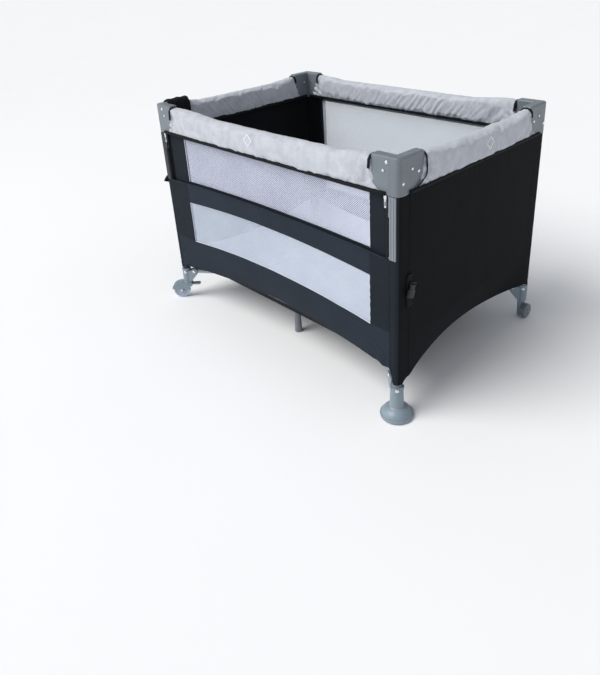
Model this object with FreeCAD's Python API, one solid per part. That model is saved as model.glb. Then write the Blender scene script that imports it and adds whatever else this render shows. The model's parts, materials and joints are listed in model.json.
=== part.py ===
import FreeCAD, Part
import math
import os

# A folding travel playpen. Origin on the floor under the centre, +X along the length,
# -Y towards the drop side, +Z up. Millimetres.
V = FreeCAD.Vector
X, Y, Z = V(1, 0, 0), V(0, 1, 0), V(0, 0, 1)

# Overall layout
LEG_X = 508.0           # leg axes from the centre, along the length
LEG_Y = 345.0           # leg axes from the centre, across the width
TOP_Z = 752.0           # top of the corner housings
RAIL_Z = TOP_Z - 36.0   # axis of the folding top rails
BASE_Z = 112.0          # axis of the base tubes and their pivots

# Tubes and pins
LEG_R, LEG_WALL = 12.0, 1.5
RAIL_R, RAIL_WALL = 10.0, 1.2
BASE_R, BASE_WALL = 8.5, 1.2
PIN_R = 3.0
PIN_FIT = 0.05          # radial clearance of a running pin
PRESS_FIT = 0.02        # radial clearance drawn round a fixed pin
OPEN_FIT = 0.3          # radial clearance where a loop of the frame is closed
SEAT_FIT = 0.1          # radial clearance of a tube in its moulded socket
SIDE_FIT = 0.5          # gap on each side of a tube in its slot
STUB = 10.0             # tube end past its pivot
STUB_ROOM = 0.8         # room round a tube end as it turns
RAIL_SWING = math.hypot(STUB, RAIL_R) + STUB_ROOM
BASE_SWING = math.hypot(STUB, BASE_R) + STUB_ROOM

# Fold geometry: every bar turns by the same angle
HUB_PIVOT = 60.0        # base pivots from the centre
FOOT_PIVOT = 34.0       # base pivots from the leg axis
LATCH_X = 45.0          # rail pivots from the middle of a long side
LATCH_Y = 18.0          # rail pivots from the middle of a short side
DIAGONAL = math.hypot(LEG_X, LEG_Y)
BASE_LENGTH = DIAGONAL - HUB_PIVOT - FOOT_PIVOT
RAIL_X = BASE_LENGTH * LEG_X / DIAGONAL
RAIL_Y = BASE_LENGTH * LEG_Y / DIAGONAL
CORNER_PIVOT_X = LATCH_X + RAIL_X
CORNER_PIVOT_Y = LATCH_Y + RAIL_Y
TURN = math.degrees(math.atan2(LEG_Y, LEG_X))

# Centre hub and centre legs
HUB_R = 74.0
HUB_ROOF = BASE_Z + BASE_SWING
HUB_TOP = HUB_ROOF + 4.2
HUB_BOTTOM = BASE_Z - 14.0
CENTRE_LEG_Y = 236.0
CENTRE_LEG_X = {"front": -9.0, "back": 20.0}
CENTRE_FOOT_R, CENTRE_NECK_R = 13.0, 9.5

# Corner housings
HOUSING_CHEEK = 4.5     # wall of a wing beside the rail
HOUSING_HALF = RAIL_R + SIDE_FIT + HOUSING_CHEEK
HOUSING_BOTTOM = TOP_Z - 96.0
SHIELD_RISE = 34.0      # how much higher the lower edge of a wing is at its end
LEG_TOP = TOP_Z - 12.0  # top of a leg tube, inside its housing
WING_X, WING_Y = 72.0, 85.0
SPLIT = LEG_R + 2.0     # parting between a front housing and its drop bracket
PART_GAP = 0.4
SHIELD_R = LEG_R + 3.5

# Slide track of the drop side
TRACK_HALF = 10.0
TRACK_SHIFT = SPLIT - TRACK_HALF
TRACK_THICK = 3.6
TRACK_GAP = 0.1
GROOVE, GROOVE_PLACE = 1.6, 4.5
TONGUE, TONGUE_LENGTH = 3.2, 56.0
TONGUE_LOW = HOUSING_BOTTOM - TONGUE_LENGTH

# Feet and wheels
BELL_R, BELL_HIGH = 45.0, 32.0
FOOT_R, FOOT_TOP = LEG_R + 8.0, BASE_Z - 12.0
EAR_TOP, EAR_LOW, EAR_THICK = BASE_Z + 12.0, BASE_Z - 44.0, 4.5
EAR_REACH = FOOT_PIVOT + 12.0
WHEEL_R, WHEEL_WIDTH, TRAIL = 31.0, 18.0, 28.0
FORK_GAP = 0.7
CHEEK = 3.0
SWIVEL_TOP, SWIVEL_FIT = 2 * WHEEL_R + 7.0, 0.3
STEM_R = 4.0
BRACKET_R = LEG_R + 4.5
BRACKET_BOTTOM = SWIVEL_TOP + SWIVEL_FIT
TRANSPORT_R, TRANSPORT_WIDTH = 25.0, 17.0
BRAKE_X, BRAKE_Z = -8.0, 2 * WHEEL_R - 7.0
PEDAL = 38.0

# Mid-rail latches and their release buttons
LATCH_WALL, LATCH_WEB = 3.0, 4.0
LATCH_BOTTOM = RAIL_Z - RAIL_R - 12.0
LATCH_TOP = RAIL_Z + RAIL_R - 2.0
LATCH_END = 15.0        # latch past its pivots
BUTTON_R, BUTTON_HEAD_R, BUTTON_HEAD, BUTTON_LIFT = 5.0, 9.0, 5.0, 6.0
BUTTON_LOW = LATCH_BOTTOM - BUTTON_LIFT - BUTTON_HEAD - 0.5

# Fabric
CLOTH = 3.0
CLOTH_GAP = 0.5
WALL_Y = LEG_Y + LEG_R + CLOTH_GAP
WALL_X = LEG_X + LEG_R + CLOTH_GAP
WALL_TOP = HOUSING_BOTTOM - 2.0
BAND_TOP, BAND_TOP_MIDDLE = 495.0, 510.0
BAND_LOW, BAND_LOW_MIDDLE = 422.0, 442.0
SILL, SILL_MIDDLE = 270.0, 297.0
HEM, HEM_MIDDLE = EAR_TOP + 2.0, 188.0
WINDOW_LEFT, WINDOW_RIGHT = 118.0 - LEG_X, LEG_X - 82.0
BACK_WINDOW = LEG_X - 78.0
BACK_SILL, BACK_HEAD = 262.0, WALL_TOP - 14.0
TRACK_LOW, TRACK_HIGH = BAND_TOP - 9.0, HOUSING_BOTTOM - 2.0
MESH = 1.0
MESH_LAP = 8.0
MESH_GAP = 0.1
SLEEVE_LOW, SLEEVE_TOP = HOUSING_BOTTOM - 3.0, TOP_Z - 4.0
SLEEVE_PAD = 7.1        # padding over the latch
SLEEVE_ROOM = RAIL_R + SIDE_FIT + LATCH_WALL + 0.4
SLEEVE_HALF = SLEEVE_ROOM + SLEEVE_PAD
SLEEVE_GAP = 2.0
DROP_EDGE = LEG_X - 28.0
DROP_GAP = 4.0
ZIP_WIDTH, ZIP_TAB = 8.0, 22.0
BUCKLE_Z = {1: 372.0, -1: 430.0}
BUCKLE_Y = 34.0 - LEG_Y
TRAY_Z, TRAY = HUB_TOP + 0.5, 2.0
TRAY_RIM, TRAY_SLOPE = 196.0, 52.0
PAD, PAD_MARGIN, PAD_CORNER = 28.0, 12.0, 30.0

CORNERS = {
    "front_right": (1, -1),
    "front_left": (-1, -1),
    "back_left": (-1, 1),
    "back_right": (1, 1),
}


def write(node, *solids):
    """Save one or more solids as a named piece."""
    shape = solids[0] if len(solids) == 1 else Part.makeCompound(list(solids))
    shape.exportStep("parts/" + node + ".step")


def box(x0, x1, y0, y1, z0, z1):
    return Part.makeBox(x1 - x0, y1 - y0, z1 - z0, V(x0, y0, z0))


def rod(radius, start, direction, length):
    return Part.makeCylinder(radius, length, start, direction)


def bar(radius, middle, direction, half):
    """A round bar centred on a point."""
    return rod(radius, middle - direction * half, direction, 2 * half)


def tube(radius, wall, start, direction, length):
    return rod(radius, start, direction, length).cut(rod(radius - wall, start, direction, length))


def joined(*shapes):
    return shapes[0].multiFuse(list(shapes[1:])).removeSplitter()


def extruded(points, depth):
    """A prism over a polygon of points; depth is its extrusion vector."""
    return Part.Face(Part.makePolygon(points + points[:1])).extrude(depth)


def at_corner(shape, side_x, side_y):
    """Bring a piece drawn in the +X +Y quarter to another corner."""
    if side_x < 0:
        shape = shape.mirror(V(), X)
    if side_y < 0:
        shape = shape.mirror(V(), Y)
    return shape


def on_diagonal(shape):
    """Turn a piece drawn along +X on to the diagonal of the +X +Y quarter."""
    turned = shape.copy()
    turned.rotate(V(), Z, TURN)
    return turned


def to_leg(shape, side_x, side_y):
    """Bring a piece drawn round the Z axis to a leg."""
    moved = shape.copy()
    moved.translate(V(side_x * LEG_X, side_y * LEG_Y, 0))
    return moved


def rivet(middle, direction, half):
    """A riveted pivot pin with a low round head at each end."""
    shaft = bar(PIN_R, middle, direction, half)
    heads = [rod(PIN_R + 2.2, middle + direction * (side * half), direction * side, 1.2) for side in (1, -1)]
    return joined(shaft, *[head.makeFillet(0.9, [head.Edges[0]]) for head in heads])


def arched(left, right, low_edge, high_edge):
    """A flat panel in the XZ plane between two edges, each an (end z, middle z) pair."""
    def edge(ends):
        start, finish = V(left, 0, ends[0]), V(right, 0, ends[0])
        if ends[0] == ends[1]:
            return Part.makeLine(start, finish)
        return Part.Arc(start, V((left + right) / 2, 0, ends[1]), finish).toShape()
    sides = [Part.makeLine(V(x, 0, low_edge[0]), V(x, 0, high_edge[0])) for x in (left, right)]
    return Part.Face(Part.Wire(Part.sortEdges([edge(low_edge), edge(high_edge), *sides])[0]))


def sheet(face, thickness, distance, along):
    """Thicken a face drawn in the XZ plane and stand it on one side of the playpen.

    along is Y for a long side and X for a short one; distance is its inner face.
    """
    side = 1 if distance > 0 else -1
    solid = face.extrude(Y * thickness * side)
    solid.translate(Y * distance)
    if along == X:
        solid.rotate(V(), Z, -90)
    return solid


def base_tube(side_x, side_y):
    """A base tube from the hub to a foot, drilled for its two pivots."""
    start = HUB_PIVOT - STUB
    shape = tube(BASE_R, BASE_WALL, V(start, 0, BASE_Z), X, BASE_LENGTH + 2 * STUB)
    for place in (HUB_PIVOT, HUB_PIVOT + BASE_LENGTH):
        shape = shape.cut(bar(PIN_R + PIN_FIT, V(place, 0, BASE_Z), Y, BASE_R + 1))
    return at_corner(on_diagonal(shape), side_x, side_y)


def centre_hub():
    """The moulded hub under the floor, slotted for six tubes, with its pivot pins."""
    body = rod(HUB_R, V(0, 0, HUB_BOTTOM), Z, HUB_TOP - HUB_BOTTOM)
    body = body.makeFillet(2.5, [e for e in body.Edges if e.Length > HUB_R * 5])
    slot_half = BASE_R + SIDE_FIT
    inner = HUB_PIVOT - BASE_SWING - 1
    slot = box(inner, HUB_R + 1, -slot_half, slot_half, HUB_BOTTOM - 1, HUB_ROOF)
    pin_half = slot_half + 6
    hole = bar(PIN_R + PRESS_FIT, V(HUB_PIVOT, 0, BASE_Z), Y, pin_half + 0.1)
    pin = bar(PIN_R, V(HUB_PIVOT, 0, BASE_Z), Y, pin_half)
    pins = []
    for side_x, side_y in CORNERS.values():
        body = body.cut(at_corner(on_diagonal(slot.fuse(hole)), side_x, side_y))
        pins.append(at_corner(on_diagonal(pin), side_x, side_y))
    for end, side in (("front", -90), ("back", 90)):
        for shape, keep in ((slot.fuse(hole), False), (pin, True)):
            turned = shape.copy()
            turned.rotate(V(), Z, side)
            turned.translate(V(CENTRE_LEG_X[end], 0, 0))
            if keep:
                pins.append(turned)
            else:
                body = body.cut(turned)
    write("centre_hub", body.removeSplitter(), *pins)


def centre_leg(end):
    """A short tube on the hub with a tapered plastic foot at its outer end."""
    side = -1 if end == "front" else 1
    place = CENTRE_LEG_X[end]
    length = CENTRE_LEG_Y - HUB_PIVOT + STUB + 10
    start = V(place, side * (HUB_PIVOT - STUB), BASE_Z)
    arm = tube(BASE_R, BASE_WALL, start, Y * side, length)
    arm = arm.cut(bar(PIN_R + PIN_FIT, V(place, side * HUB_PIVOT, BASE_Z), X, BASE_R + 1))
    foot = Part.makeCone(CENTRE_FOOT_R, CENTRE_NECK_R, BASE_Z, V(place, side * CENTRE_LEG_Y, 0), Z)
    foot = foot.makeFillet(2.0, [min(foot.Edges, key=lambda e: e.CenterOfMass.z)])
    head_start = V(place, side * (CENTRE_LEG_Y - 14), BASE_Z)
    head = rod(BASE_R + 3.5, head_start, Y * side, 28)
    foot = joined(foot, head).cut(rod(BASE_R + 0.05, start, Y * side, length))
    write("centre_leg_" + end, arm, foot)


def leg_tube(name, side_x, side_y, low):
    """An upright leg; a front one carries the slide track of the drop side."""
    shape = tube(LEG_R, LEG_WALL, V(0, 0, low), Z, LEG_TOP - low)
    leg = to_leg(shape, side_x, side_y)
    if side_y > 0:
        write("leg_tube_" + name, leg)
        return
    front = -LEG_Y - LEG_R - TRACK_GAP
    middle = side_x * (LEG_X - TRACK_SHIFT)
    track = box(middle - TRACK_HALF, middle + TRACK_HALF, front - TRACK_THICK, front, TRACK_LOW, TRACK_HIGH)
    for place in (middle - GROOVE_PLACE, middle + GROOVE_PLACE):
        groove = box(place - GROOVE / 2, place + GROOVE / 2, front - TRACK_THICK, front - TRACK_THICK + 1,
                     TRACK_LOW, TRACK_HIGH)
        track = track.cut(groove)
    inner = middle - side_x * TRACK_HALF
    side_groove = box(inner - GROOVE, inner + GROOVE, front - 1 - GROOVE, front - 1, TRACK_LOW, TRACK_HIGH)
    write("leg_tube_" + name, leg, track.cut(side_groove))


def wing_plan(reach_x, reach_y):
    """The L-shaped plan of a corner housing, round at its outer corner."""
    half, corner, end = HOUSING_HALF, 13.0, 6.0
    plan = box(-reach_x, half, -half, half, HOUSING_BOTTOM, TOP_Z)
    other = box(-half, half, -reach_y, half, HOUSING_BOTTOM, TOP_Z)
    body = joined(plan, other)

    def upright(shape, x, y):
        return [e for e in shape.Edges if e.Length > (TOP_Z - HOUSING_BOTTOM) * 0.9
                and abs(e.CenterOfMass.x - x) < 0.1 and abs(e.CenterOfMass.y - y) < 0.1]
    places = [(-reach_x, half), (-reach_x, -half), (half, -reach_y), (-half, -reach_y)]
    rounded = body.makeFillet(end, [edge for x, y in places for edge in upright(body, x, y)])
    rounded = rounded.makeFillet(corner, upright(rounded, half, half))
    top = [e for e in rounded.Edges if abs(e.BoundBox.ZMin - TOP_Z) < 0.01]
    return rounded.makeFillet(end - 0.5, top)


def shield_cut(reach, across):
    """What is cut from below a wing, so that its lower edge curves down to the leg."""
    low, high = HOUSING_BOTTOM - 10, HOUSING_BOTTOM + SHIELD_RISE
    curve_end, curve_start = V(-reach, 0, high), V(-SHIELD_R, 0, HOUSING_BOTTOM)
    middle = V(-(SHIELD_R + reach) / 2 - 6, 0, HOUSING_BOTTOM + 9)
    curve = Part.Arc(curve_start, middle, curve_end).toShape()
    lines = Part.makePolygon([curve_end, V(-reach - 5, 0, high), V(-reach - 5, 0, low), V(-SHIELD_R, 0, low),
                              curve_start]).Edges
    cutter = Part.Face(Part.Wire(Part.sortEdges(lines + [curve])[0])).extrude(Y * 60)
    cutter.translate(Y * -30)
    if across == X:
        cutter.rotate(V(), Z, 90)
    return cutter


def channel(start, reach, along):
    """The slot inside a wing that the end of a rail turns in."""
    half = RAIL_R + SIDE_FIT
    slot = box(-reach - 1, -start, -half, half, HOUSING_BOTTOM - 1, RAIL_Z + RAIL_SWING)
    if along == Y:
        slot.rotate(V(), Z, 90)
    return slot


def corner_housing(name, side_x, side_y):
    """The moulded corner on top of a leg. A front one leaves its long wing to the drop bracket."""
    off_x, off_y = LEG_X - CORNER_PIVOT_X, LEG_Y - CORNER_PIVOT_Y
    body = wing_plan(WING_X, WING_Y).cut(shield_cut(WING_X, Y)).cut(shield_cut(WING_Y, X))
    body = body.cut(channel(off_y - RAIL_SWING, WING_Y, Y))
    wings = [(V(0, -off_y, RAIL_Z), X)]
    if side_y < 0:
        body = body.cut(box(-WING_X - 5, -SPLIT, -30, 30, HOUSING_BOTTOM - 1, TOP_Z + 1))
    else:
        body = body.cut(channel(off_x - RAIL_SWING, WING_X, X))
        wings.append((V(-off_x, 0, RAIL_Z), Y))
    body = body.cut(rod(LEG_R + SEAT_FIT, V(0, 0, HOUSING_BOTTOM - 1), Z, LEG_TOP - HOUSING_BOTTOM + 1))
    pins = []
    for middle, direction in wings:
        body = body.cut(bar(PIN_R + PRESS_FIT, middle, direction, 40))
        pins.append(rivet(middle, direction, HOUSING_HALF))
    quarter = [at_corner(shape, side_x, side_y) for shape in [body, *pins]]
    write("corner_housing_" + name, *[to_leg(shape, side_x, side_y) for shape in quarter])


def drop_bracket(name, side_x):
    """The wing of a front corner that slides down the leg's track with the drop side."""
    off_x = LEG_X - CORNER_PIVOT_X
    edge = -SPLIT - PART_GAP
    body = wing_plan(WING_X, WING_Y).cut(shield_cut(WING_X, Y)).cut(channel(off_x - RAIL_SWING, WING_X, X))
    body = body.common(box(-WING_X - 5, edge, -HOUSING_HALF, HOUSING_HALF, HOUSING_BOTTOM, TOP_Z))
    face = LEG_R + TRACK_GAP
    tongue = box(edge - TONGUE, edge, face - 6, face + TRACK_THICK - 0.8, TONGUE_LOW, HOUSING_BOTTOM + 8)
    rib = box(edge, edge + GROOVE - 0.1, face + 1.2, face + GROOVE + 0.8, TONGUE_LOW, TRACK_HIGH - 2)
    middle = V(-off_x, 0, RAIL_Z)
    body = joined(body, tongue, rib).cut(bar(PIN_R + PRESS_FIT, middle, Y, 40))
    quarter = [at_corner(shape, side_x, -1) for shape in (body, rivet(middle, Y, HOUSING_HALF))]
    write("drop_bracket_" + name, *[to_leg(shape, side_x, -1) for shape in quarter])


def foot_ears(socket_r):
    """The fork on a foot that holds the end of a base tube, drawn with the hub towards -X."""
    half = BASE_R + SIDE_FIT
    outline = [
        V(-socket_r + 6, 0, EAR_LOW - 8), V(-EAR_REACH + 8, 0, EAR_LOW + 26), V(-EAR_REACH, 0, EAR_TOP - 18),
        V(-EAR_REACH, 0, EAR_TOP - 5), V(-EAR_REACH + 5, 0, EAR_TOP), V(-socket_r + 9, 0, EAR_TOP - 12),
        V(-socket_r + 9, 0, EAR_LOW - 8),
    ]
    ears = []
    for side in (1, -1):
        ear = extruded(outline, Y * side * EAR_THICK)
        ear.translate(Y * side * half)
        ears.append(ear)
    web = extruded([V(-socket_r + 6, 0, EAR_LOW - 8), V(-EAR_REACH + 8, 0, EAR_LOW + 26),
                    V(-socket_r + 6, 0, EAR_LOW + 26)], Y * 2 * half)
    web.translate(Y * -half)
    return ears + [web]


def foot_body(*shapes):
    """Join a foot's mouldings, drill it for its pivot and return it with its rivets."""
    half = BASE_R + SIDE_FIT + EAR_THICK
    pivot = V(-FOOT_PIVOT, 0, BASE_Z)
    body = joined(*shapes).cut(bar(PIN_R + PRESS_FIT, pivot, Y, 40))
    return [body, rivet(pivot, Y, half)]


def place_foot(node, shapes, side_x, side_y):
    """Turn a foot so that its fork faces the hub, and stand it under its leg."""
    quarter = [at_corner(on_diagonal(shape), side_x, side_y) for shape in shapes]
    write(node, *[to_leg(shape, side_x, side_y) for shape in quarter])


def bell_foot():
    """The bell-shaped foot on the front right leg."""
    profile = [V(0, 0, 0), V(BELL_R - 2, 0, 0), V(BELL_R, 0, 2), V(BELL_R, 0, 7)]
    dome = Part.Arc(profile[-1], V(BELL_R - 9, 0, BELL_HIGH - 9), V(FOOT_R + 3, 0, BELL_HIGH)).toShape()
    rest = [dome.Vertexes[-1].Point, V(FOOT_R, 0, BELL_HIGH + 3), V(FOOT_R - 2, 0, FOOT_TOP), V(0, 0, FOOT_TOP),
            V(0, 0, 0)]
    edges = Part.makePolygon(profile).Edges + [dome] + Part.makePolygon(rest).Edges
    body = Part.Face(Part.Wire(Part.sortEdges(edges)[0])).revolve(V(), Z, 360)
    shapes = foot_body(body, *foot_ears(FOOT_R))
    shapes[0] = shapes[0].cut(rod(LEG_R + SEAT_FIT, V(0, 0, BELL_HIGH + 4), Z, FOOT_TOP))
    place_foot("bell_foot_front_right", shapes, 1, -1)


def caster_bracket(name, side_x, side_y):
    """The moulding on a left leg that holds the base tube and the caster's stem."""
    flange = rod(STEM_R + 14, V(0, 0, BRACKET_BOTTOM), Z, 5)
    socket = rod(BRACKET_R, V(0, 0, BRACKET_BOTTOM), Z, EAR_TOP - BRACKET_BOTTOM)
    shapes = foot_body(joined(flange, socket), *[
        ear.cut(box(-100, 100, -50, 50, 0, BRACKET_BOTTOM + 1)) for ear in foot_ears(BRACKET_R)])
    leg_seat = BRACKET_BOTTOM + 16
    shapes[0] = shapes[0].cut(rod(LEG_R + SEAT_FIT, V(0, 0, leg_seat), Z, 100))
    shapes[0] = shapes[0].cut(rod(STEM_R + PIN_FIT, V(0, 0, BRACKET_BOTTOM - 1), Z, 14))
    place_foot("caster_bracket_" + name, shapes, side_x, side_y)


def caster(name, side_x, side_y):
    """A braked swivel caster, drawn with its wheel trailing towards +X."""
    axle = V(TRAIL, 0, WHEEL_R)
    well = WHEEL_WIDTH / 2 + FORK_GAP
    outer = well + CHEEK
    hood = bar(WHEEL_R + 5, axle, Y, outer)
    hood = hood.cut(box(-60, 120, -50, 50, -20, WHEEL_R + 7))
    strap = joined(bar(8.5, axle, Y, outer), box(TRAIL - 8.5, TRAIL + 8.5, -outer, outer, WHEEL_R, WHEEL_R + 12))
    ears = box(BRAKE_X - 7, 8, -outer, outer, BRAKE_Z - 8, SWIVEL_TOP - 4)
    boss = rod(STEM_R + 12, V(0, 0, SWIVEL_TOP - 7), Z, 7)
    body = joined(hood, strap, ears, boss).cut(bar(WHEEL_R + 1.5, axle, Y, well))
    lever_room = box(BRAKE_X - 20, 7, -well, well, BRAKE_Z - 20, SWIVEL_TOP - 6.9)
    body = body.cut(lever_room).common(box(-60, 120, -50, 50, 0, SWIVEL_TOP))
    brake_axis = V(BRAKE_X, 0, BRAKE_Z)
    for place in (axle, brake_axis):
        body = body.cut(bar(PIN_R + PRESS_FIT, place, Y, outer + 1))
    stem = rod(STEM_R, V(0, 0, SWIVEL_TOP), Z, 12)
    pins = [bar(PIN_R, place, Y, outer) for place in (axle, brake_axis)]
    fork = [joined(body, stem), *pins]
    wheel = bar(WHEEL_R, axle, Y, WHEEL_WIDTH / 2)
    wheel = wheel.makeFillet(3.0, [e for e in wheel.Edges if e.Length > WHEEL_R * 5])
    rim = bar(WHEEL_R - 8, V(TRAIL, WHEEL_WIDTH / 2, WHEEL_R), Y, 2).cut(
        bar(10, V(TRAIL, WHEEL_WIDTH / 2, WHEEL_R), Y, 2))
    wheel = wheel.cut(rim).cut(rim.mirror(V(), Y)).cut(bar(PIN_R + PIN_FIT, axle, Y, WHEEL_WIDTH))
    lever_half = well - 0.5
    pedal = box(BRAKE_X - PEDAL, BRAKE_X - 3, -lever_half, lever_half, BRAKE_Z - 2, BRAKE_Z + 2.5)
    pedal = pedal.makeFillet(6.0, [e for e in pedal.Edges if e.Length < 5
                                   and abs(e.CenterOfMass.x - BRAKE_X + PEDAL) < 0.1])
    lever = joined(pedal, bar(5.0, brake_axis, Y, lever_half)).cut(bar(PIN_R + PIN_FIT, brake_axis, Y, 30))
    facing = math.degrees(math.atan2(side_y, side_x))
    for node, shapes in (("caster_fork_", fork), ("caster_wheel_", [wheel]), ("caster_brake_", [lever])):
        placed = []
        for shape in shapes:
            turned = shape.copy()
            turned.rotate(V(), Z, facing)
            placed.append(to_leg(turned, side_x, side_y))
        write(node + name, *placed)


def wheel_bracket():
    """The back right foot: a tapered leg with a fixed transport wheel beside it."""
    socket = rod(BRACKET_R, V(0, 0, EAR_LOW - 4), Z, EAR_TOP + 4 - EAR_LOW)
    shapes = foot_body(socket, *foot_ears(BRACKET_R))
    shapes[0] = shapes[0].cut(rod(LEG_R + SEAT_FIT, V(0, 0, EAR_LOW + 8), Z, 100))
    bracket, pin = [on_diagonal(shape) for shape in shapes]
    taper = extruded([V(-7, -16, EAR_LOW + 4), V(-7, -10, 4), V(-7, -6, 0), V(-7, 6, 0), V(-7, 10, 4),
                      V(-7, 16, EAR_LOW + 4)], X * 14)
    axle_place = V(7, 0, TRANSPORT_R + 0.4)
    boss = rod(7.0, axle_place - X * 2, X, 5)
    bracket = joined(bracket, taper, boss)
    reach = 3 + SIDE_FIT + TRANSPORT_WIDTH
    bracket = bracket.cut(rod(PIN_R + PRESS_FIT, axle_place - X * 8, X, 20))
    axle = joined(rod(PIN_R, axle_place - X * 8, X, 8 + reach + 0.5), rod(6.0, axle_place + X * (reach + 0.5), X, 2.5))
    write("wheel_bracket_back_right", *[to_leg(shape, 1, 1) for shape in (bracket, pin, axle)])
    wheel = rod(TRANSPORT_R, axle_place + X * (3 + SIDE_FIT), X, TRANSPORT_WIDTH)
    wheel = wheel.makeFillet(3.0, [e for e in wheel.Edges if e.Length > TRANSPORT_R * 5])
    wheel = wheel.cut(rod(PIN_R + PIN_FIT, axle_place, X, 40))
    write("transport_wheel_back_right", to_leg(wheel, 1, 1))


def top_rail(node, along, side, across, closing):
    """Half of a top rail, from its corner pivot to its latch pivot.

    along is the rail's axis, side its end of the playpen on that axis, across where it stands on the
    other axis, and closing is true for the half whose latch pin closes the frame's loop.
    """
    latch, corner = (LATCH_X, CORNER_PIVOT_X) if along == X else (LATCH_Y, CORNER_PIVOT_Y)
    other = Y if along == X else X
    start = along * (side * (latch - STUB)) + other * across + Z * RAIL_Z
    shape = tube(RAIL_R, RAIL_WALL, start, along * side, corner - latch + 2 * STUB)
    for place, fit in ((corner, PIN_FIT), (latch, OPEN_FIT if closing else PIN_FIT)):
        middle = along * (side * place) + other * across + Z * RAIL_Z
        shape = shape.cut(bar(PIN_R + fit, middle, other, RAIL_R + 1))
    write(node, shape)


def rail_latch(name, along, across):
    """The U-shaped latch between two rail halves, with its release button below."""
    half = (LATCH_X if along == X else LATCH_Y) + LATCH_END
    inner, outer = RAIL_R + SIDE_FIT, RAIL_R + SIDE_FIT + LATCH_WALL
    body = box(-half, half, -outer, outer, LATCH_BOTTOM, LATCH_TOP)
    body = body.makeFillet(6.0, [e for e in body.Edges if abs(abs(e.CenterOfMass.x) - half) < 0.1
                                 and abs(e.CenterOfMass.y) < 0.1])
    web_top = LATCH_BOTTOM + LATCH_WEB
    body = body.cut(box(-half - 1, half + 1, -inner, inner, web_top, LATCH_TOP + 1))
    body = body.cut(rod(BUTTON_R + 0.3, V(0, 0, LATCH_BOTTOM - 1), Z, 10))
    low = V(0, 0, BUTTON_LOW)
    button = joined(rod(BUTTON_R, low, Z, 24), rod(BUTTON_HEAD_R, low, Z, BUTTON_HEAD))
    pins = []
    for side in (1, -1):
        middle = V(side * (half - LATCH_END), 0, RAIL_Z)
        body = body.cut(bar(PIN_R + PRESS_FIT, middle, Y, outer + 1))
        pins.append(bar(PIN_R, middle, Y, outer))
    placed = []
    for shape in (body, *pins, button):
        turned = shape.copy()
        if along == Y:
            turned.rotate(V(), Z, 90)
        turned.translate((Y if along == X else X) * across)
        placed.append(turned)
    write("rail_latch_" + name, *placed[:-1])
    write("release_button_" + name, placed[-1])


def sleeve(name, along, across, reach):
    """A padded fabric sleeve over one top rail and its latch."""
    def block(half_length, half_width, low, high, radius):
        shape = box(-half_length, half_length, -half_width, half_width, low, high)
        return shape.makeFillet(radius, [e for e in shape.Edges if e.Length > half_length * 1.5])
    outer = block(reach, SLEEVE_HALF, SLEEVE_LOW, SLEEVE_TOP, SLEEVE_HALF - 2)
    body = outer.cut(block(reach + 5, SLEEVE_ROOM, BUTTON_LOW - 1, LATCH_TOP + 6, 3.0))
    if along == Y:
        body.rotate(V(), Z, 90)
    body.translate((Y if along == X else X) * across)
    write("rail_sleeve_" + name, body)


def buckle(side):
    """A side-release buckle on a short strap, sewn to the end wall near the front."""
    low = BUCKLE_Z[side]
    strap = box(0, 1.6, BUCKLE_Y - 12, BUCKLE_Y + 12, low - 30, low + 70)
    shell = box(1.6, 10, BUCKLE_Y - 15, BUCKLE_Y + 15, low, low + 42)
    shell = shell.makeFillet(3.0, [e for e in shell.Edges if e.Length > 40])
    shapes = []
    for shape in (strap, shell):
        moved = shape.mirror(V(), X) if side < 0 else shape
        moved.translate(X * side * (WALL_X + CLOTH + 0.05))
        shapes.append(moved)
    return shapes


def fabric():
    """Walls, window meshes, floor and pad, each as a plain closed solid."""
    edge = WALL_X + CLOTH - 0.5
    front = arched(-edge, edge, (HEM, HEM_MIDDLE), (BAND_TOP, BAND_TOP_MIDDLE))
    window = arched(WINDOW_LEFT, WINDOW_RIGHT, (SILL, SILL_MIDDLE), (BAND_LOW, BAND_LOW_MIDDLE))
    notch = LEG_X - TRACK_SHIFT - TRACK_HALF
    front_wall = sheet(front.cut(window), CLOTH, -WALL_Y, Y)
    for side in (1, -1):
        slot = box(notch - 0.5, edge + 5, -WALL_Y - 5, -WALL_Y + 5, TRACK_LOW - 4, BAND_TOP + 30)
        strip = box(DROP_EDGE + 4.5, notch - PART_GAP - TONGUE - 0.3, -WALL_Y - CLOTH, -WALL_Y,
                    TRACK_LOW - 20, WALL_TOP)
        front_wall = front_wall.cut(slot if side > 0 else slot.mirror(V(), X))
        front_wall = joined(front_wall, strip if side > 0 else strip.mirror(V(), X))
    write("front_wall", front_wall)
    mesh = arched(WINDOW_LEFT - MESH_LAP, WINDOW_RIGHT + MESH_LAP, (SILL - MESH_LAP, SILL_MIDDLE - MESH_LAP),
                  (BAND_LOW + MESH_LAP, BAND_LOW_MIDDLE + MESH_LAP))
    write("front_mesh", sheet(mesh, MESH, -WALL_Y + MESH + MESH_GAP, Y))

    back = arched(-edge, edge, (HEM, HEM_MIDDLE), (WALL_TOP, WALL_TOP))
    window = arched(-BACK_WINDOW, BACK_WINDOW, (BACK_SILL, BACK_SILL), (BACK_HEAD, BACK_HEAD))
    write("back_wall", sheet(back.cut(window), CLOTH, WALL_Y, Y))
    mesh = arched(-BACK_WINDOW - MESH_LAP, BACK_WINDOW + MESH_LAP, (BACK_SILL - MESH_LAP, BACK_SILL - MESH_LAP),
                  (BACK_HEAD + MESH_LAP, BACK_HEAD + MESH_LAP))
    write("back_mesh", sheet(mesh, MESH, WALL_Y - MESH - MESH_GAP, Y))

    inset = WALL_Y - CLOTH_GAP
    end = sheet(arched(-inset, inset, (HEM, HEM_MIDDLE), (WALL_TOP, WALL_TOP)), CLOTH, WALL_X, X)
    write("right_wall", end, *buckle(1))
    write("left_wall", end.mirror(V(), X), *buckle(-1))


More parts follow.
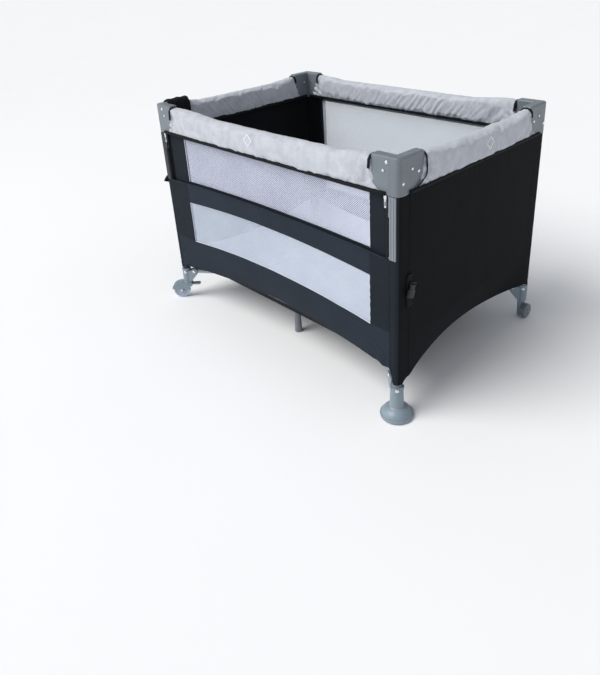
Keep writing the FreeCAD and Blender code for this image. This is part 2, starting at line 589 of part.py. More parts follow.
def drop_panel():
    """The part of the drop side above its fixed band: a fabric frame and its mesh window."""
    low = (BAND_TOP + DROP_GAP, BAND_TOP_MIDDLE + DROP_GAP)
    panel = arched(-DROP_EDGE, DROP_EDGE, low, (WALL_TOP, WALL_TOP))
    window = arched(WINDOW_LEFT, WINDOW_RIGHT, (low[0] + 10, low[1] + 4), (WALL_TOP - 8, WALL_TOP - 8))
    write("drop_panel", sheet(panel.cut(window), CLOTH, -WALL_Y, Y))
    mesh = arched(WINDOW_LEFT - MESH_LAP, WINDOW_RIGHT + MESH_LAP, low, (WALL_TOP - 2, WALL_TOP - 2))
    write("drop_mesh", sheet(mesh, MESH, -WALL_Y + MESH + MESH_GAP, Y))


def frustum(half_x, half_y, low, high, slope):
    """A block whose four sides lean out by slope from low to high."""
    loops = []
    for spread, z in ((0, low), (slope, high)):
        x, y = half_x + spread, half_y + spread
        loops.append(Part.makePolygon([V(-x, -y, z), V(x, -y, z), V(x, y, z), V(-x, y, z), V(-x, -y, z)]))
    return Part.makeLoft(loops, True, True)


def floor():
    """The fabric floor tray, sloping up to the walls, and the padded base board in it."""
    half_x = WALL_X - 1 - TRAY_SLOPE
    half_y = WALL_Y - MESH - 0.6 - TRAY_SLOPE
    corner_x, corner_y = LEG_X - LEG_R - 6, LEG_Y - LEG_R - 6
    tray = frustum(half_x, half_y, TRAY_Z, TRAY_RIM, TRAY_SLOPE)
    tray = tray.cut(frustum(half_x - TRAY, half_y - TRAY, TRAY_Z + TRAY, TRAY_RIM + TRAY, TRAY_SLOPE))
    for side_x, side_y in CORNERS.values():
        notch = box(corner_x, WALL_X + 5, corner_y, WALL_Y + 5, TRAY_Z - 1, TRAY_RIM + 1)
        tray = tray.cut(at_corner(notch, side_x, side_y))
    write("floor_tray", tray)
    pad_x, pad_y = half_x - PAD_MARGIN, half_y - PAD_MARGIN
    pad = box(-pad_x, pad_x, -pad_y, pad_y, TRAY_Z + TRAY, TRAY_Z + TRAY + PAD)
    pad = pad.makeFillet(PAD_CORNER, [e for e in pad.Edges if e.Length < PAD + 1])
    write("floor_pad", pad)


def zipper_pull(name, side_x):
    """The slider and pull tab of the zip beside a front leg."""
    place, half = side_x * (DROP_EDGE + DROP_GAP), ZIP_WIDTH / 2
    face, neck = -WALL_Y - CLOTH - 0.3, WALL_TOP - 8
    slider = box(place - half, place + half, face - 2.6, face, neck, neck + 10)
    tab = box(place - half + 1, place + half - 1, face - 2.2, face - 0.6, neck - ZIP_TAB, neck)
    hole = box(place - half + 2.5, place + half - 2.5, face - 5, face + 1, neck - ZIP_TAB + 4, neck - 6)
    write("zipper_pull_" + name, joined(slider, tab).cut(hole))


def main():
    os.makedirs("parts", exist_ok=True)
    centre_hub()
    for end in CENTRE_LEG_X:
        centre_leg(end)
    leg_seats = {
        "front_right": BELL_HIGH + 4,
        "front_left": BRACKET_BOTTOM + 16,
        "back_left": BRACKET_BOTTOM + 16,
        "back_right": EAR_LOW + 8,
    }
    for name, (side_x, side_y) in CORNERS.items():
        write("base_tube_" + name, base_tube(side_x, side_y))
        leg_tube(name, side_x, side_y, leg_seats[name])
        corner_housing(name, side_x, side_y)
        if side_x < 0:
            caster_bracket(name, side_x, side_y)
            caster(name, side_x, side_y)
    bell_foot()
    wheel_bracket()
    for name, side_x in (("right", 1), ("left", -1)):
        drop_bracket(name, side_x)
        zipper_pull(name, side_x)
        top_rail("top_rail_front_" + name, X, side_x, -LEG_Y, side_x < 0)
        top_rail("top_rail_back_" + name, X, side_x, LEG_Y, side_x > 0)
        top_rail("top_rail_" + name + "_front", Y, -1, side_x * LEG_X, False)
        top_rail("top_rail_" + name + "_back", Y, 1, side_x * LEG_X, True)
    long_reach = LEG_X - WING_X - SLEEVE_GAP
    short_reach = LEG_Y - WING_Y - SLEEVE_GAP
    for name, along, across, reach in (("front", X, -LEG_Y, long_reach), ("back", X, LEG_Y, long_reach),
                                       ("right", Y, LEG_X, short_reach), ("left", Y, -LEG_X, short_reach)):
        rail_latch(name, along, across)
        sleeve(name, along, across, reach)
    fabric()
    drop_panel()
    floor()


main()
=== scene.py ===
import json
import math
import bpy
import bmesh
from mathutils import Matrix, Vector, noise
from mathutils.bvhtree import BVHTree


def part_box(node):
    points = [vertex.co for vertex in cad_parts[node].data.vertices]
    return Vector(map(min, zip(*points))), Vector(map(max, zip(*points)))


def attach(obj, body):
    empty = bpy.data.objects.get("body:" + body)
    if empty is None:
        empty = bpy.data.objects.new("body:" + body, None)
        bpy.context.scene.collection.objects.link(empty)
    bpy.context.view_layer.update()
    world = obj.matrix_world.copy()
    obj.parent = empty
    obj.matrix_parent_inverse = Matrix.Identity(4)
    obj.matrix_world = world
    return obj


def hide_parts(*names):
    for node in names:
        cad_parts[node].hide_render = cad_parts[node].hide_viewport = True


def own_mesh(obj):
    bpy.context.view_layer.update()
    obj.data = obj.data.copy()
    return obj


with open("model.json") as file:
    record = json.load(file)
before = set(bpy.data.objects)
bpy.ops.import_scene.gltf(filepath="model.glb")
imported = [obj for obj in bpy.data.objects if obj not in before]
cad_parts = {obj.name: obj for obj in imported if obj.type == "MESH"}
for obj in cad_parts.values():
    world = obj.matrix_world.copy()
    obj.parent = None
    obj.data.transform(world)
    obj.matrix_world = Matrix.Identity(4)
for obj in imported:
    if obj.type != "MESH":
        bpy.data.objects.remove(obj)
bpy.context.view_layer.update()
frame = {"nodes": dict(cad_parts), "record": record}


bpy.context.scene.view_settings.view_transform = "Standard"


def middleOf(node):
    low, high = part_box(node)
    return (low + high) / 2


# where the frame is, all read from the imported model
legX, legY = middleOf("leg_tube_back_right")[:2]
railZ = middleOf("top_rail_back_right")[2]
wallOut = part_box("back_wall")[1][1] - legY      # outer face of the cloth past a leg's axis
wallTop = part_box("back_wall")[1][2]
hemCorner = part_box("back_wall")[0][2]
sleeveLow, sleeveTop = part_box("rail_sleeve_back")[0][2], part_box("rail_sleeve_back")[1][2]
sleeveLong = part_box("rail_sleeve_back")[1][0]
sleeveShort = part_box("rail_sleeve_right")[1][1]
corners = {"front_right": (1, -1), "front_left": (-1, -1), "back_left": (-1, 1), "back_right": (1, 1)}

# ---- camera, floor and light
camera = {"azimuth": 46.14, "elevation": 24.02, "roll": -2.95, "place": (1.355, -1.420, 1.181),
          "focal": 613.1, "centre": (320, 230)}


def setCamera():
    a, e, r = (math.radians(camera[k]) for k in ("azimuth", "elevation", "roll"))
    back = Vector((math.sin(a) * math.cos(e), -math.cos(a) * math.cos(e), math.sin(e)))
    right = Vector((math.cos(a), math.sin(a), 0))
    up = back.cross(right)
    right, up = math.cos(r) * right + math.sin(r) * up, -math.sin(r) * right + math.cos(r) * up
    data = bpy.data.cameras.new("camera")
    data.sensor_width = 36
    data.lens = camera["focal"] / 675 * 36
    data.shift_x = -(camera["centre"][0] - 300) / 675
    data.shift_y = -(337.5 - camera["centre"][1]) / 675
    data.clip_start, data.clip_end = 0.05, 300
    holder = placed("camera", data)
    holder.matrix_world = Matrix.Translation(camera["place"]) @ Matrix((right, up, back)).transposed().to_4x4()
    bpy.context.scene.camera = holder


light = {"sunWay": (0.44, 0.88, -1.14), "sunSpread": 40.0, "sunPower": 2.60, "fillPlace": (-2.6, -3.2, 1.6),
         "fillSize": 2.4,
         "fillPower": 14, "skyColor": (0.90, 0.94, 1.0), "skyPower": 0.40, "rimPower": 1.0, "rimHeight": 0.16,
         "floorColor": (0.955, 0.96, 0.97)}


def setLight():
    # a soft sun from the front left, a little fill, and a sky that is pale at the floor's edge
    data = bpy.data.lights.new("keyLight", "SUN")
    data.energy, data.angle, data.color = light["sunPower"], math.radians(light["sunSpread"]), (1.0, 0.985, 0.96)
    lamp = placed("keyLight", data)
    lamp.rotation_euler = Vector(light["sunWay"]).to_track_quat("-Z", "Y").to_euler()
    data = bpy.data.lights.new("fillLight", "AREA")
    data.shape, data.size, data.energy, data.color = "DISK", light["fillSize"], light["fillPower"], (0.94, 0.97, 1.0)
    lamp = placed("fillLight", data)
    lamp.location = light["fillPlace"]
    lamp.rotation_euler = (Vector((0, 0, 0.4)) - Vector(light["fillPlace"])).to_track_quat("-Z", "Y").to_euler()
    world = bpy.data.worlds.new("softSky")
    world.use_nodes = True
    tree = world.node_tree
    sky = tree.nodes["Background"]
    sky.inputs["Color"].default_value = (*light["skyColor"], 1)
    parts = tree.nodes.new("ShaderNodeSeparateXYZ")
    tree.links.new(tree.nodes.new("ShaderNodeTexCoord").outputs["Generated"], parts.inputs[0])
    tree.links.new(spanNode(tree, parts.outputs[2], 0.0, light["rimHeight"], light["rimPower"], light["skyPower"]),
                   sky.inputs["Strength"])
    bpy.context.scene.world = world
    floor = meshPiece("floor", [(-60, -60, 0), (60, -60, 0), (60, 60, 0), (-60, 60, 0)], [(0, 1, 2, 3)], floorPaint())


# ---- mesh helpers
fullTurn = 6.28319


def placed(name, data):
    piece = bpy.data.objects.new(name, data)
    bpy.context.scene.collection.objects.link(piece)
    return piece


def meshPiece(name, points, faces, material, smooth=True):
    mesh = bpy.data.meshes.new(name)
    mesh.from_pydata([tuple(p) for p in points], [], faces)
    mesh.materials.append(material)
    for face in mesh.polygons:
        face.use_smooth = smooth
    mesh.update()
    return placed(name, mesh)


def outward(piece, merge=1e-5):
    shape = bmesh.new()
    shape.from_mesh(piece.data)
    bmesh.ops.remove_doubles(shape, verts=shape.verts, dist=merge)
    bmesh.ops.recalc_face_normals(shape, faces=shape.faces)
    shape.to_mesh(piece.data)
    shape.free()
    return piece


def applied(piece):
    grid = bpy.context.evaluated_depsgraph_get()
    result = bpy.data.meshes.new_from_object(piece.evaluated_get(grid))
    piece.modifiers.clear()
    old, piece.data = piece.data, result
    bpy.data.meshes.remove(old)
    return piece


# ---- finishes: shared shader groups first
def nodeGroup(name, inputs, outputs):
    group = bpy.data.node_groups.new(name, "ShaderNodeTree")
    for title, kind, value in inputs:
        socket = group.interface.new_socket(title, in_out="INPUT", socket_type=kind)
        if value is not None:
            socket.default_value = value
    for title, kind in outputs:
        group.interface.new_socket(title, in_out="OUTPUT", socket_type=kind)
    return group, group.nodes.new("NodeGroupInput"), group.nodes.new("NodeGroupOutput")


def mathNode(tree, operation, first, second=None, third=None):
    node = tree.nodes.new("ShaderNodeMath")
    node.operation = operation
    for slot, value in enumerate((first, second, third)):
        if value is None:
            continue
        if isinstance(value, (int, float)):
            node.inputs[slot].default_value = value
        else:
            tree.links.new(value, node.inputs[slot])
    return node.outputs[0]


def noiseNode(tree, vector, scale, detail=3.0, stretch=None):
    if stretch:
        mapping = tree.nodes.new("ShaderNodeMapping")
        mapping.inputs["Scale"].default_value = stretch
        tree.links.new(vector, mapping.inputs["Vector"])
        vector = mapping.outputs[0]
    node = tree.nodes.new("ShaderNodeTexNoise")
    node.inputs["Scale"].default_value = scale
    node.inputs["Detail"].default_value = detail
    tree.links.new(vector, node.inputs["Vector"])
    return node.outputs[0]


def spanNode(tree, value, low, high, outLow=0.0, outHigh=1.0):
    node = tree.nodes.new("ShaderNodeMapRange")
    tree.links.new(value, node.inputs["Value"])
    for title, number in (("From Min", low), ("From Max", high), ("To Min", outLow), ("To Max", outHigh)):
        node.inputs[title].default_value = number
    return node.outputs[0]


def mixColors(tree, factor, first, second):
    node = tree.nodes.new("ShaderNodeMix")
    node.data_type = "RGBA"
    tree.links.new(factor, node.inputs["Factor"])
    for socket, value in ((node.inputs[6], first), (node.inputs[7], second)):
        if isinstance(value, tuple):
            socket.default_value = (*value, 1)
        else:
            tree.links.new(value, socket)
    return node.outputs[2]


def alongWall(tree, vector):
    parts = tree.nodes.new("ShaderNodeSeparateXYZ")
    tree.links.new(vector, parts.inputs[0])
    return mathNode(tree, "ADD", parts.outputs[0], parts.outputs[1]), parts.outputs[2]


def makeWeaveGroup():
    group, inner, outer = nodeGroup("weave",
                                    [("Vector", "NodeSocketVector", None), ("Thread", "NodeSocketFloat", 0.0009)],
                                    [("Height", "NodeSocketFloat")])
    along, high = alongWall(group, inner.outputs["Vector"])
    turns = mathNode(group, "DIVIDE", 3.14159, inner.outputs["Thread"])
    across = mathNode(group, "SINE", mathNode(group, "MULTIPLY", along, turns))
    down = mathNode(group, "SINE", mathNode(group, "MULTIPLY", high, turns))
    plain = mathNode(group, "MULTIPLY", across, down)
    group.links.new(mathNode(group, "MULTIPLY_ADD", plain, 0.5, 0.5), outer.inputs["Height"])
    return group


def makeNetGroup():
    group, inner, outer = nodeGroup("netHoles",
                                    [("Vector", "NodeSocketVector", None), ("Pitch", "NodeSocketFloat", 0.004),
                                                 ("Thread", "NodeSocketFloat", 0.3)],
                                    [("Cover", "NodeSocketFloat"), ("Height", "NodeSocketFloat")])
    along, high = alongWall(group, inner.outputs["Vector"])
    turns = mathNode(group, "DIVIDE", 3.14159, inner.outputs["Pitch"])
    rising = mathNode(group, "SINE", mathNode(group, "MULTIPLY", mathNode(group, "ADD", along, high), turns))
    falling = mathNode(group, "SINE", mathNode(group, "MULTIPLY", mathNode(group, "SUBTRACT", along, high), turns))
    hole = mathNode(group, "ABSOLUTE", mathNode(group, "MULTIPLY", rising, falling))
    limit = mathNode(group, "SUBTRACT", 1.0, inner.outputs["Thread"])
    cover = mathNode(group, "DIVIDE", mathNode(group, "SUBTRACT", mathNode(group, "ADD", limit, 0.12), hole), 0.24)
    clear = group.nodes.new("ShaderNodeClamp")
    group.links.new(cover, clear.inputs[0])
    group.links.new(clear.outputs[0], outer.inputs["Cover"])
    group.links.new(mathNode(group, "SUBTRACT", 1.0, hole), outer.inputs["Height"])
    return group


weaveGroup, netGroup = makeWeaveGroup(), makeNetGroup()


def groupNode(tree, group, vector, **values):
    node = tree.nodes.new("ShaderNodeGroup")
    node.node_tree = group
    tree.links.new(vector, node.inputs["Vector"])
    for title, number in values.items():
        node.inputs[title].default_value = number
    return node


def newFinish(name, roughness, metallic=0.0, **constants):
    material = bpy.data.materials.new(name)
    material.use_nodes = True
    tree = material.node_tree
    shader = tree.nodes["Principled BSDF"]
    shader.inputs["Roughness"].default_value = roughness
    shader.inputs["Metallic"].default_value = metallic
    for title, value in constants.items():
        shader.inputs[title.replace("_", " ")].default_value = value
    place = tree.nodes.new("ShaderNodeTexCoord").outputs["Object"]
    return material, tree, shader, place


def colourBy(tree, shader, tone, dark, light):
    tree.links.new(mixColors(tree, tone, dark, light), shader.inputs["Base Color"])


def addBump(tree, shader, height, depth, strength=1.0, under=None):
    bump = tree.nodes.new("ShaderNodeBump")
    bump.inputs["Strength"].default_value = strength
    bump.inputs["Distance"].default_value = depth
    tree.links.new(height, bump.inputs["Height"])
    if under:
        tree.links.new(under, bump.inputs["Normal"])
    tree.links.new(bump.outputs[0], shader.inputs["Normal"])
    return bump.outputs[0]


def melangeCloth(name, light, dark):
    # heathered knit: two greys of fibre, a soft nap and fine creases
    material, tree, shader, place = newFinish(name, 0.92, Sheen_Weight=0.25, Sheen_Roughness=0.45)
    fibre = noiseNode(tree, place, 520, 4.0, (1.0, 1.0, 2.6))
    cloud = noiseNode(tree, place, 34, 3.0)
    tone = mathNode(tree, "ADD", spanNode(tree, fibre, 0.32, 0.68, 0.0, 0.62),
                    spanNode(tree, cloud, 0.35, 0.65, 0.0, 0.38))
    colourBy(tree, shader, tone, dark, light)
    weave = groupNode(tree, weaveGroup, place, Thread=0.0011)
    crease = noiseNode(tree, place, 60, 5.0, (1.0, 1.0, 0.55))
    soft = addBump(tree, shader, crease, 0.006, 0.6)
    addBump(tree, shader, weave.outputs["Height"], 0.0003, 0.5, soft)
    return material


def wovenCloth(name, light, dark, thread=0.0009, sheen=0.0, roughness=0.85):
    # plain woven polyester with a faint slub and long soft creases
    material, tree, shader, place = newFinish(name, roughness, Sheen_Weight=sheen, Specular_IOR_Level=0.16)
    weave = groupNode(tree, weaveGroup, place, Thread=thread)
    slub = noiseNode(tree, place, 240, 2.0, (0.25, 0.25, 3.0))
    cloud = noiseNode(tree, place, 9, 3.0)
    tone = mathNode(tree, "MULTIPLY_ADD", weave.outputs["Height"], 0.45,
                    mathNode(tree, "ADD", spanNode(tree, slub, 0.35, 0.65, 0.0, 0.25),
                             spanNode(tree, cloud, 0.3, 0.7, 0.0, 0.3)))
    colourBy(tree, shader, tone, dark, light)
    crease = noiseNode(tree, place, 26, 4.0, (1.0, 1.0, 0.6))
    soft = addBump(tree, shader, crease, 0.004, 0.35)
    addBump(tree, shader, weave.outputs["Height"], 0.0003, 0.6, soft)
    return material


def nettingCloth(name, light, dark, pitch=0.0042, thread=0.62, haze=0.0):
    # knitted net: open holes crossed by finer threads, which haze them over
    material, tree, shader, place = newFinish(name, 0.7, Sheen_Weight=0.2)
    net = groupNode(tree, netGroup, place, Pitch=pitch, Thread=thread)
    cloud = noiseNode(tree, place, 14, 2.0)
    tone = mathNode(tree, "MULTIPLY_ADD", net.outputs["Height"], 0.5, spanNode(tree, cloud, 0.3, 0.7, 0.1, 0.5))
    colourBy(tree, shader, tone, dark, light)
    tree.links.new(spanNode(tree, net.outputs["Cover"], 0.0, 1.0, haze, 1.0), shader.inputs["Alpha"])
    addBump(tree, shader, net.outputs["Height"], 0.0008, 0.5)
    return material


def ribbedTape(name, light, dark, rib=0.0016):
    material, tree, shader, place = newFinish(name, 0.8, Specular_IOR_Level=0.2)
    weave = groupNode(tree, weaveGroup, place, Thread=rib)
    fuzz = noiseNode(tree, place, 300, 2.0)
    tone = mathNode(tree, "MULTIPLY_ADD", weave.outputs["Height"], 0.6, spanNode(tree, fuzz, 0.3, 0.7, 0.0, 0.4))
    colourBy(tree, shader, tone, dark, light)
    addBump(tree, shader, weave.outputs["Height"], 0.0006, 0.7)
    return material


def mouldedPlastic(name, light, dark, roughness=0.42, grain=900, gloss=0.5):
    # fine spark-eroded grain, slightly uneven gloss, and scuffs that dull it
    material, tree, shader, place = newFinish(name, roughness, Specular_IOR_Level=gloss)
    cloud = noiseNode(tree, place, 18, 4.0)
    speck = noiseNode(tree, place, 420, 2.0)
    tone = mathNode(tree, "ADD", spanNode(tree, cloud, 0.3, 0.7, 0.0, 0.6),
                    spanNode(tree, speck, 0.35, 0.65, 0.0, 0.4))
    colourBy(tree, shader, tone, dark, light)
    scuff = noiseNode(tree, place, 70, 6.0, (1.0, 1.0, 0.3))
    tree.links.new(spanNode(tree, scuff, 0.35, 0.75, roughness - 0.06, roughness + 0.16), shader.inputs["Roughness"])
    addBump(tree, shader, noiseNode(tree, place, grain, 2.0), 0.00025, 0.5)
    return material


def paintedSteel(name, light, dark):
    material, tree, shader, place = newFinish(name, 0.32, 0.35, Coat_Roughness=0.15, Coat_Weight=0.35)
    cloud = noiseNode(tree, place, 40, 3.0)
    colourBy(tree, shader, spanNode(tree, cloud, 0.3, 0.7), dark, light)
    rub = noiseNode(tree, place, 120, 5.0, (1.0, 1.0, 0.2))
    tree.links.new(spanNode(tree, rub, 0.3, 0.7, 0.24, 0.44), shader.inputs["Roughness"])
    addBump(tree, shader, noiseNode(tree, place, 600, 2.0), 0.00012, 0.4)
    return material


def brightSteel(name, light, dark, roughness=0.22):
    material, tree, shader, place = newFinish(name, roughness, 1.0)
    rub = noiseNode(tree, place, 500, 4.0)
    colourBy(tree, shader, spanNode(tree, rub, 0.3, 0.7), dark, light)
    tree.links.new(spanNode(tree, rub, 0.3, 0.7, roughness - 0.06, roughness + 0.12), shader.inputs["Roughness"])
    return material


def treadRubber(name, light, dark):
    material, tree, shader, place = newFinish(name, 0.55)
    dust = noiseNode(tree, place, 90, 5.0)
    colourBy(tree, shader, spanNode(tree, dust, 0.3, 0.7), dark, light)
    tree.links.new(spanNode(tree, dust, 0.3, 0.7, 0.45, 0.7), shader.inputs["Roughness"])
    addBump(tree, shader, noiseNode(tree, place, 350, 3.0), 0.0003, 0.6)
    return material


def quiltedCloth(name, light, dark):
    # brushed cloth of the base pad, with faint lengthwise creases
    material, tree, shader, place = newFinish(name, 0.9, Sheen_Weight=0.2)
    fibre = noiseNode(tree, place, 380, 3.0)
    cloud = noiseNode(tree, place, 11, 4.0)
    tone = mathNode(tree, "ADD", spanNode(tree, fibre, 0.3, 0.7, 0.0, 0.4), spanNode(tree, cloud, 0.3, 0.7, 0.0, 0.6))
    colourBy(tree, shader, tone, dark, light)
    crease = noiseNode(tree, place, 16, 5.0, (1.0, 0.5, 1.0))
    soft = addBump(tree, shader, crease, 0.006, 0.4)
    weave = groupNode(tree, weaveGroup, place, Thread=0.0013)
    addBump(tree, shader, weave.outputs["Height"], 0.0003, 0.5, soft)
    return material


def floorPaint():
    material, tree, shader, place = newFinish("paleFloor", 0.9)
    cloud = noiseNode(tree, place, 1.5, 3.0)
    pale = light["floorColor"]
    colourBy(tree, shader, cloud, tuple(c * 0.97 for c in pale), pale)
    return material


finishes = {
    "sleeve": melangeCloth("greyMelange", (0.60, 0.62, 0.67), (0.40, 0.42, 0.47)),
    "wall": wovenCloth("navyCloth", (0.0255, 0.034, 0.049), (0.015, 0.0205, 0.030)),
    "sideWall": wovenCloth("deepNavyCloth", (0.0165, 0.0215, 0.0305), (0.0098, 0.0130, 0.0190)),
    # endWall is a much darker copy of the navy cloth: painted shade for the end walls, which face away from the
    # light; the corner wraps' end faces, the corner linings and the tray's underside use it too
    "endWall": wovenCloth("shadedNavyCloth", (0.0052, 0.0066, 0.0086), (0.0030, 0.0038, 0.0050)),
    "tape": ribbedTape("blackTape", (0.0085, 0.0098, 0.0125), (0.0038, 0.0044, 0.0056)),
    "thread": ribbedTape("navyThread", (0.034, 0.043, 0.058), (0.02, 0.026, 0.036), 0.0006),
    "piping": ribbedTape("palePiping", (0.78, 0.82, 0.88), (0.60, 0.65, 0.74), 0.0012),
    "net": nettingCloth("paleNetting", (0.68, 0.71, 0.86), (0.50, 0.53, 0.68), 0.0060, 0.56, 0.22),
    "lowNet": nettingCloth("clearNetting", (0.66, 0.73, 0.86), (0.52, 0.59, 0.72), 0.0046, 0.46, 0.0),
    # backNet is a darker copy of the netting: painted shade of the back net, which is seen from its shaded side
    "backNet": nettingCloth("shadedBackNetting", (0.45, 0.535, 0.63), (0.36, 0.44, 0.53), 0.0036, 0.68, 0.3),
    "pad": quiltedCloth("padCloth", (0.82, 0.86, 0.91), (0.68, 0.73, 0.79)),
    "housing": mouldedPlastic("housingPlastic", (0.185, 0.212, 0.235), (0.135, 0.158, 0.180), 0.36),
    "foot": mouldedPlastic("footPlastic", (0.26, 0.325, 0.375), (0.19, 0.245, 0.29), 0.34),
    "black": mouldedPlastic("blackPlastic", (0.0065, 0.007, 0.0085), (0.003, 0.0033, 0.004), 0.24, 900, 0.3),
    "slideBar": mouldedPlastic("darkSlidePlastic", (0.042, 0.050, 0.060), (0.026, 0.032, 0.039), 0.42, 900, 0.3),
    "tube": paintedSteel("paintedTube", (0.42, 0.46, 0.50), (0.33, 0.37, 0.41)),
    "strip": mouldedPlastic("slideStripPaint", (0.235, 0.258, 0.288), (0.20, 0.22, 0.248), 0.46, 900, 0.35),
    "steel": brightSteel("rivetSteel", (0.85, 0.86, 0.88), (0.62, 0.64, 0.67)),
    "tyre": treadRubber("paleTread", (0.47, 0.54, 0.65), (0.34, 0.40, 0.50)),
    "badge": ribbedTape("badgeThread", (0.95, 0.96, 0.98), (0.86, 0.88, 0.92), 0.0008),
}
nodeFinish = {"frame": "tube", "plastic": "housing", "foot": "foot", "wheel": "tyre", "button": "black",
              "dark_cloth": "sideWall",
              "grey_cloth": "sleeve", "net": "net", "pad": "pad", "zip": "steel"}


wheelNode = "transport_wheel_back_right"


def paintFrame():
    for part in frame["record"]["subparts"]:
        piece = frame["nodes"][part["node"]]
        finish = nodeFinish[part["material_slot"]]
        if part["node"] == "leg_tube_front_left":
            finish = "slideBar"
        elif part["node"] == "leg_tube_front_right":
            finish = "strip"
        elif part["node"].startswith("caster_brake"):
            finish = "foot"
        elif part["node"].startswith("centre_leg") or part["node"] == wheelNode:
            finish = "housing"
        for slot in piece.material_slots:
            slot.material = finishes[finish]


# ---- fabric walls
wall = {"cloth": 0.0024, "step": 0.0075, "hemPull": 0.034, "endPull": 0.033,
        "sill": (0.273, 0.299), "band": (0.422, 0.442), "bandTop": (0.485, 0.501), "windowLeft": -0.390,
        "windowRight": 0.429,
        "backWindow": 0.430, "backSill": 0.262, "backHead": 0.640, "strip": (0.4845, 0.4900), "notch": 0.4935,
        "trackLow": 0.484,
        "trackEdge": 0.0072, "wrap": 0.030, "dropInset": 0.0102}

# heights of the hem: beside a leg on the long wall, under the leg, beside it on the end wall, and mid wall
hems = {"front_right": {"side": 0.158, "tip": 0.111, "end": 0.118, "middle": 0.167},
        "front_left": {"side": 0.146, "tip": 0.134, "end": 0.136, "middle": 0.167},
        "back_left": {"side": 0.140, "tip": hemCorner + 0.002, "end": 0.136, "middle": 0.155},
        "back_right": {"side": 0.140, "tip": hemCorner + 0.002, "end": 0.136, "middle": 0.155}}
endHem = 0.153


def arch(ends, place, left=-0.523, right=0.523):
    across = (place - (left + right) / 2) / ((right - left) / 2)
    return ends[0] + (ends[1] - ends[0]) * max(0.0, 1 - across * across)


def spread(stops, step):
    line = []
    for first, last in zip(stops, stops[1:]):
        count = max(1, round(abs(last - first) / step))
        line += [first + (last - first) * i / count for i in range(count)]
    return line + [stops[-1]]


def pucker(place, z, seam, size=0.0017, reach=0.018, pitch=0.023):
    away = abs(place - seam)
    if away > reach * 2.5:
        return 0.0
    wave = math.sin(6.2832 * (z / pitch + 0.8 * noise.noise(Vector((place * 20, 3.1, z * 14)))))
    return size * wave * math.exp(-(away / reach) ** 2) * (0.6 + 0.4 * noise.noise(Vector((seam * 30, z * 30, 1.7))))


def clothGrid(name, columns, rows, keep, material, thickness=None):
    points, faces = [], []
    count = len(rows[0])
    for column, heights in zip(columns, rows):
        points += [column(z) for z in heights]
    for i in range(len(columns) - 1):
        for j in range(count - 1):
            if keep(i, j):
                a = i * count + j
                faces.append((a, a + count, a + count + 1, a + 1))
    piece = meshPiece(name, points, faces, material)
    shape = bmesh.new()
    shape.from_mesh(piece.data)
    bmesh.ops.delete(shape, geom=[v for v in shape.verts if not v.link_faces], context="VERTS")
    shape.to_mesh(piece.data)
    shape.free()
    if thickness:
        solid = piece.modifiers.new("thickness", "SOLIDIFY")
        solid.thickness, solid.offset = thickness, -1
        applied(piece)
    return piece


def faceOut(piece, direction):
    total = sum((Vector(f.normal) * f.area for f in piece.data.polygons), Vector())
    if total.dot(Vector(direction)) < 0:
        piece.data.flip_normals()
    return piece


def hemAt(x, y, corner):
    hem = hems[corner]
    if abs(y) > abs(x) * legY / legX:
        share = max(0.0, 1 - (abs(x) / 0.492) ** 2)
        return hem["side"] + (hem["middle"] - hem["side"]) * share ** 0.8
    share = max(0.0, 1 - (abs(y) / 0.332) ** 2)
    return hem["end"] + (endHem - hem["end"]) * share


def easeBetween(value, low, high):
    share = max(0.0, min(1.0, (value - low) / (high - low)))
    return share * share * (3 - 2 * share)


def longWallPoint(sx, sy, x, z, outer, corner, seams=()):
    hem = hemAt(x, legY, corner)
    share = max(0.0, 1 - (abs(x) / 0.47) ** 2)
    reach = 0.275 - hem
    low = max(0.0, min(1.0, (hem + reach - z) / reach))
    y = outer - wall["hemPull"] * share * low ** 1.7
    y += 0.0009 * noise.noise(Vector((x * 11 * sx, sy * 4.0, z * 9))) * min(1, (0.50 - abs(x)) * 12)
    for seam in seams:
        y += pucker(x, z, seam)
    gather = max(0.0, 1 - abs(abs(x) - 0.462) / 0.05) * max(0.0, 1 - (z - hem) / 0.13)
    y += 0.0026 * gather * math.sin((abs(x) * 0.8 + z) * 190)
    return (sx * x, sy * y, z)


def longWall(name, corner, sy, window, levels):
    sx = corners[corner][0]
    outer = legY + wallOut
    stops = sorted({0.0, window - 0.03, window, wall["strip"][0] - 0.004, *wall["strip"], wall["notch"]})
    places = spread(stops, wall["step"])
    counts = (16, 20, 9, 20)

    def heights(x):
        z = [hemAt(x, legY, corner)] + [level(sx * x) for level in levels]
        return [a for k in range(len(z) - 1)
                for a in (z[k] + (z[k + 1] - z[k]) * i / counts[k] for i in range(counts[k]))] + [z[-1]]

    seams = (window + 0.008, wall["strip"][0] - 0.008)
    columns = [lambda z, x=x: longWallPoint(sx, sy, x, z, outer, corner, seams) for x in places]
    rows = [heights(x) for x in places]

    def keep(i, j):
        x = (places[i] + places[i + 1]) / 2
        if counts[0] <= j < counts[0] + counts[1]:
            return x > window
        if len(levels) > 3 and j >= sum(counts[:3]):
            return wall["strip"][0] < x < wall["strip"][1]
        return True
    piece = clothGrid(name, columns, rows, keep, finishes["wall"])
    piece.data.materials.append(finishes["sideWall"])
    for face in piece.data.polygons:      # the upright bands are a deeper cloth
        if abs(face.center.x) > window and face.center.z > levels[0](face.center.x):
            face.material_index = 1
    faceOut(piece, (0, sy, 0))
    return thicken(piece, wall["cloth"])


def thicken(piece, thickness):
    solid = piece.modifiers.new("thickness", "SOLIDIFY")
    solid.thickness, solid.offset = thickness, -1
    applied(piece)
    piece.data.set_sharp_from_angle(angle=math.radians(45))
    return piece


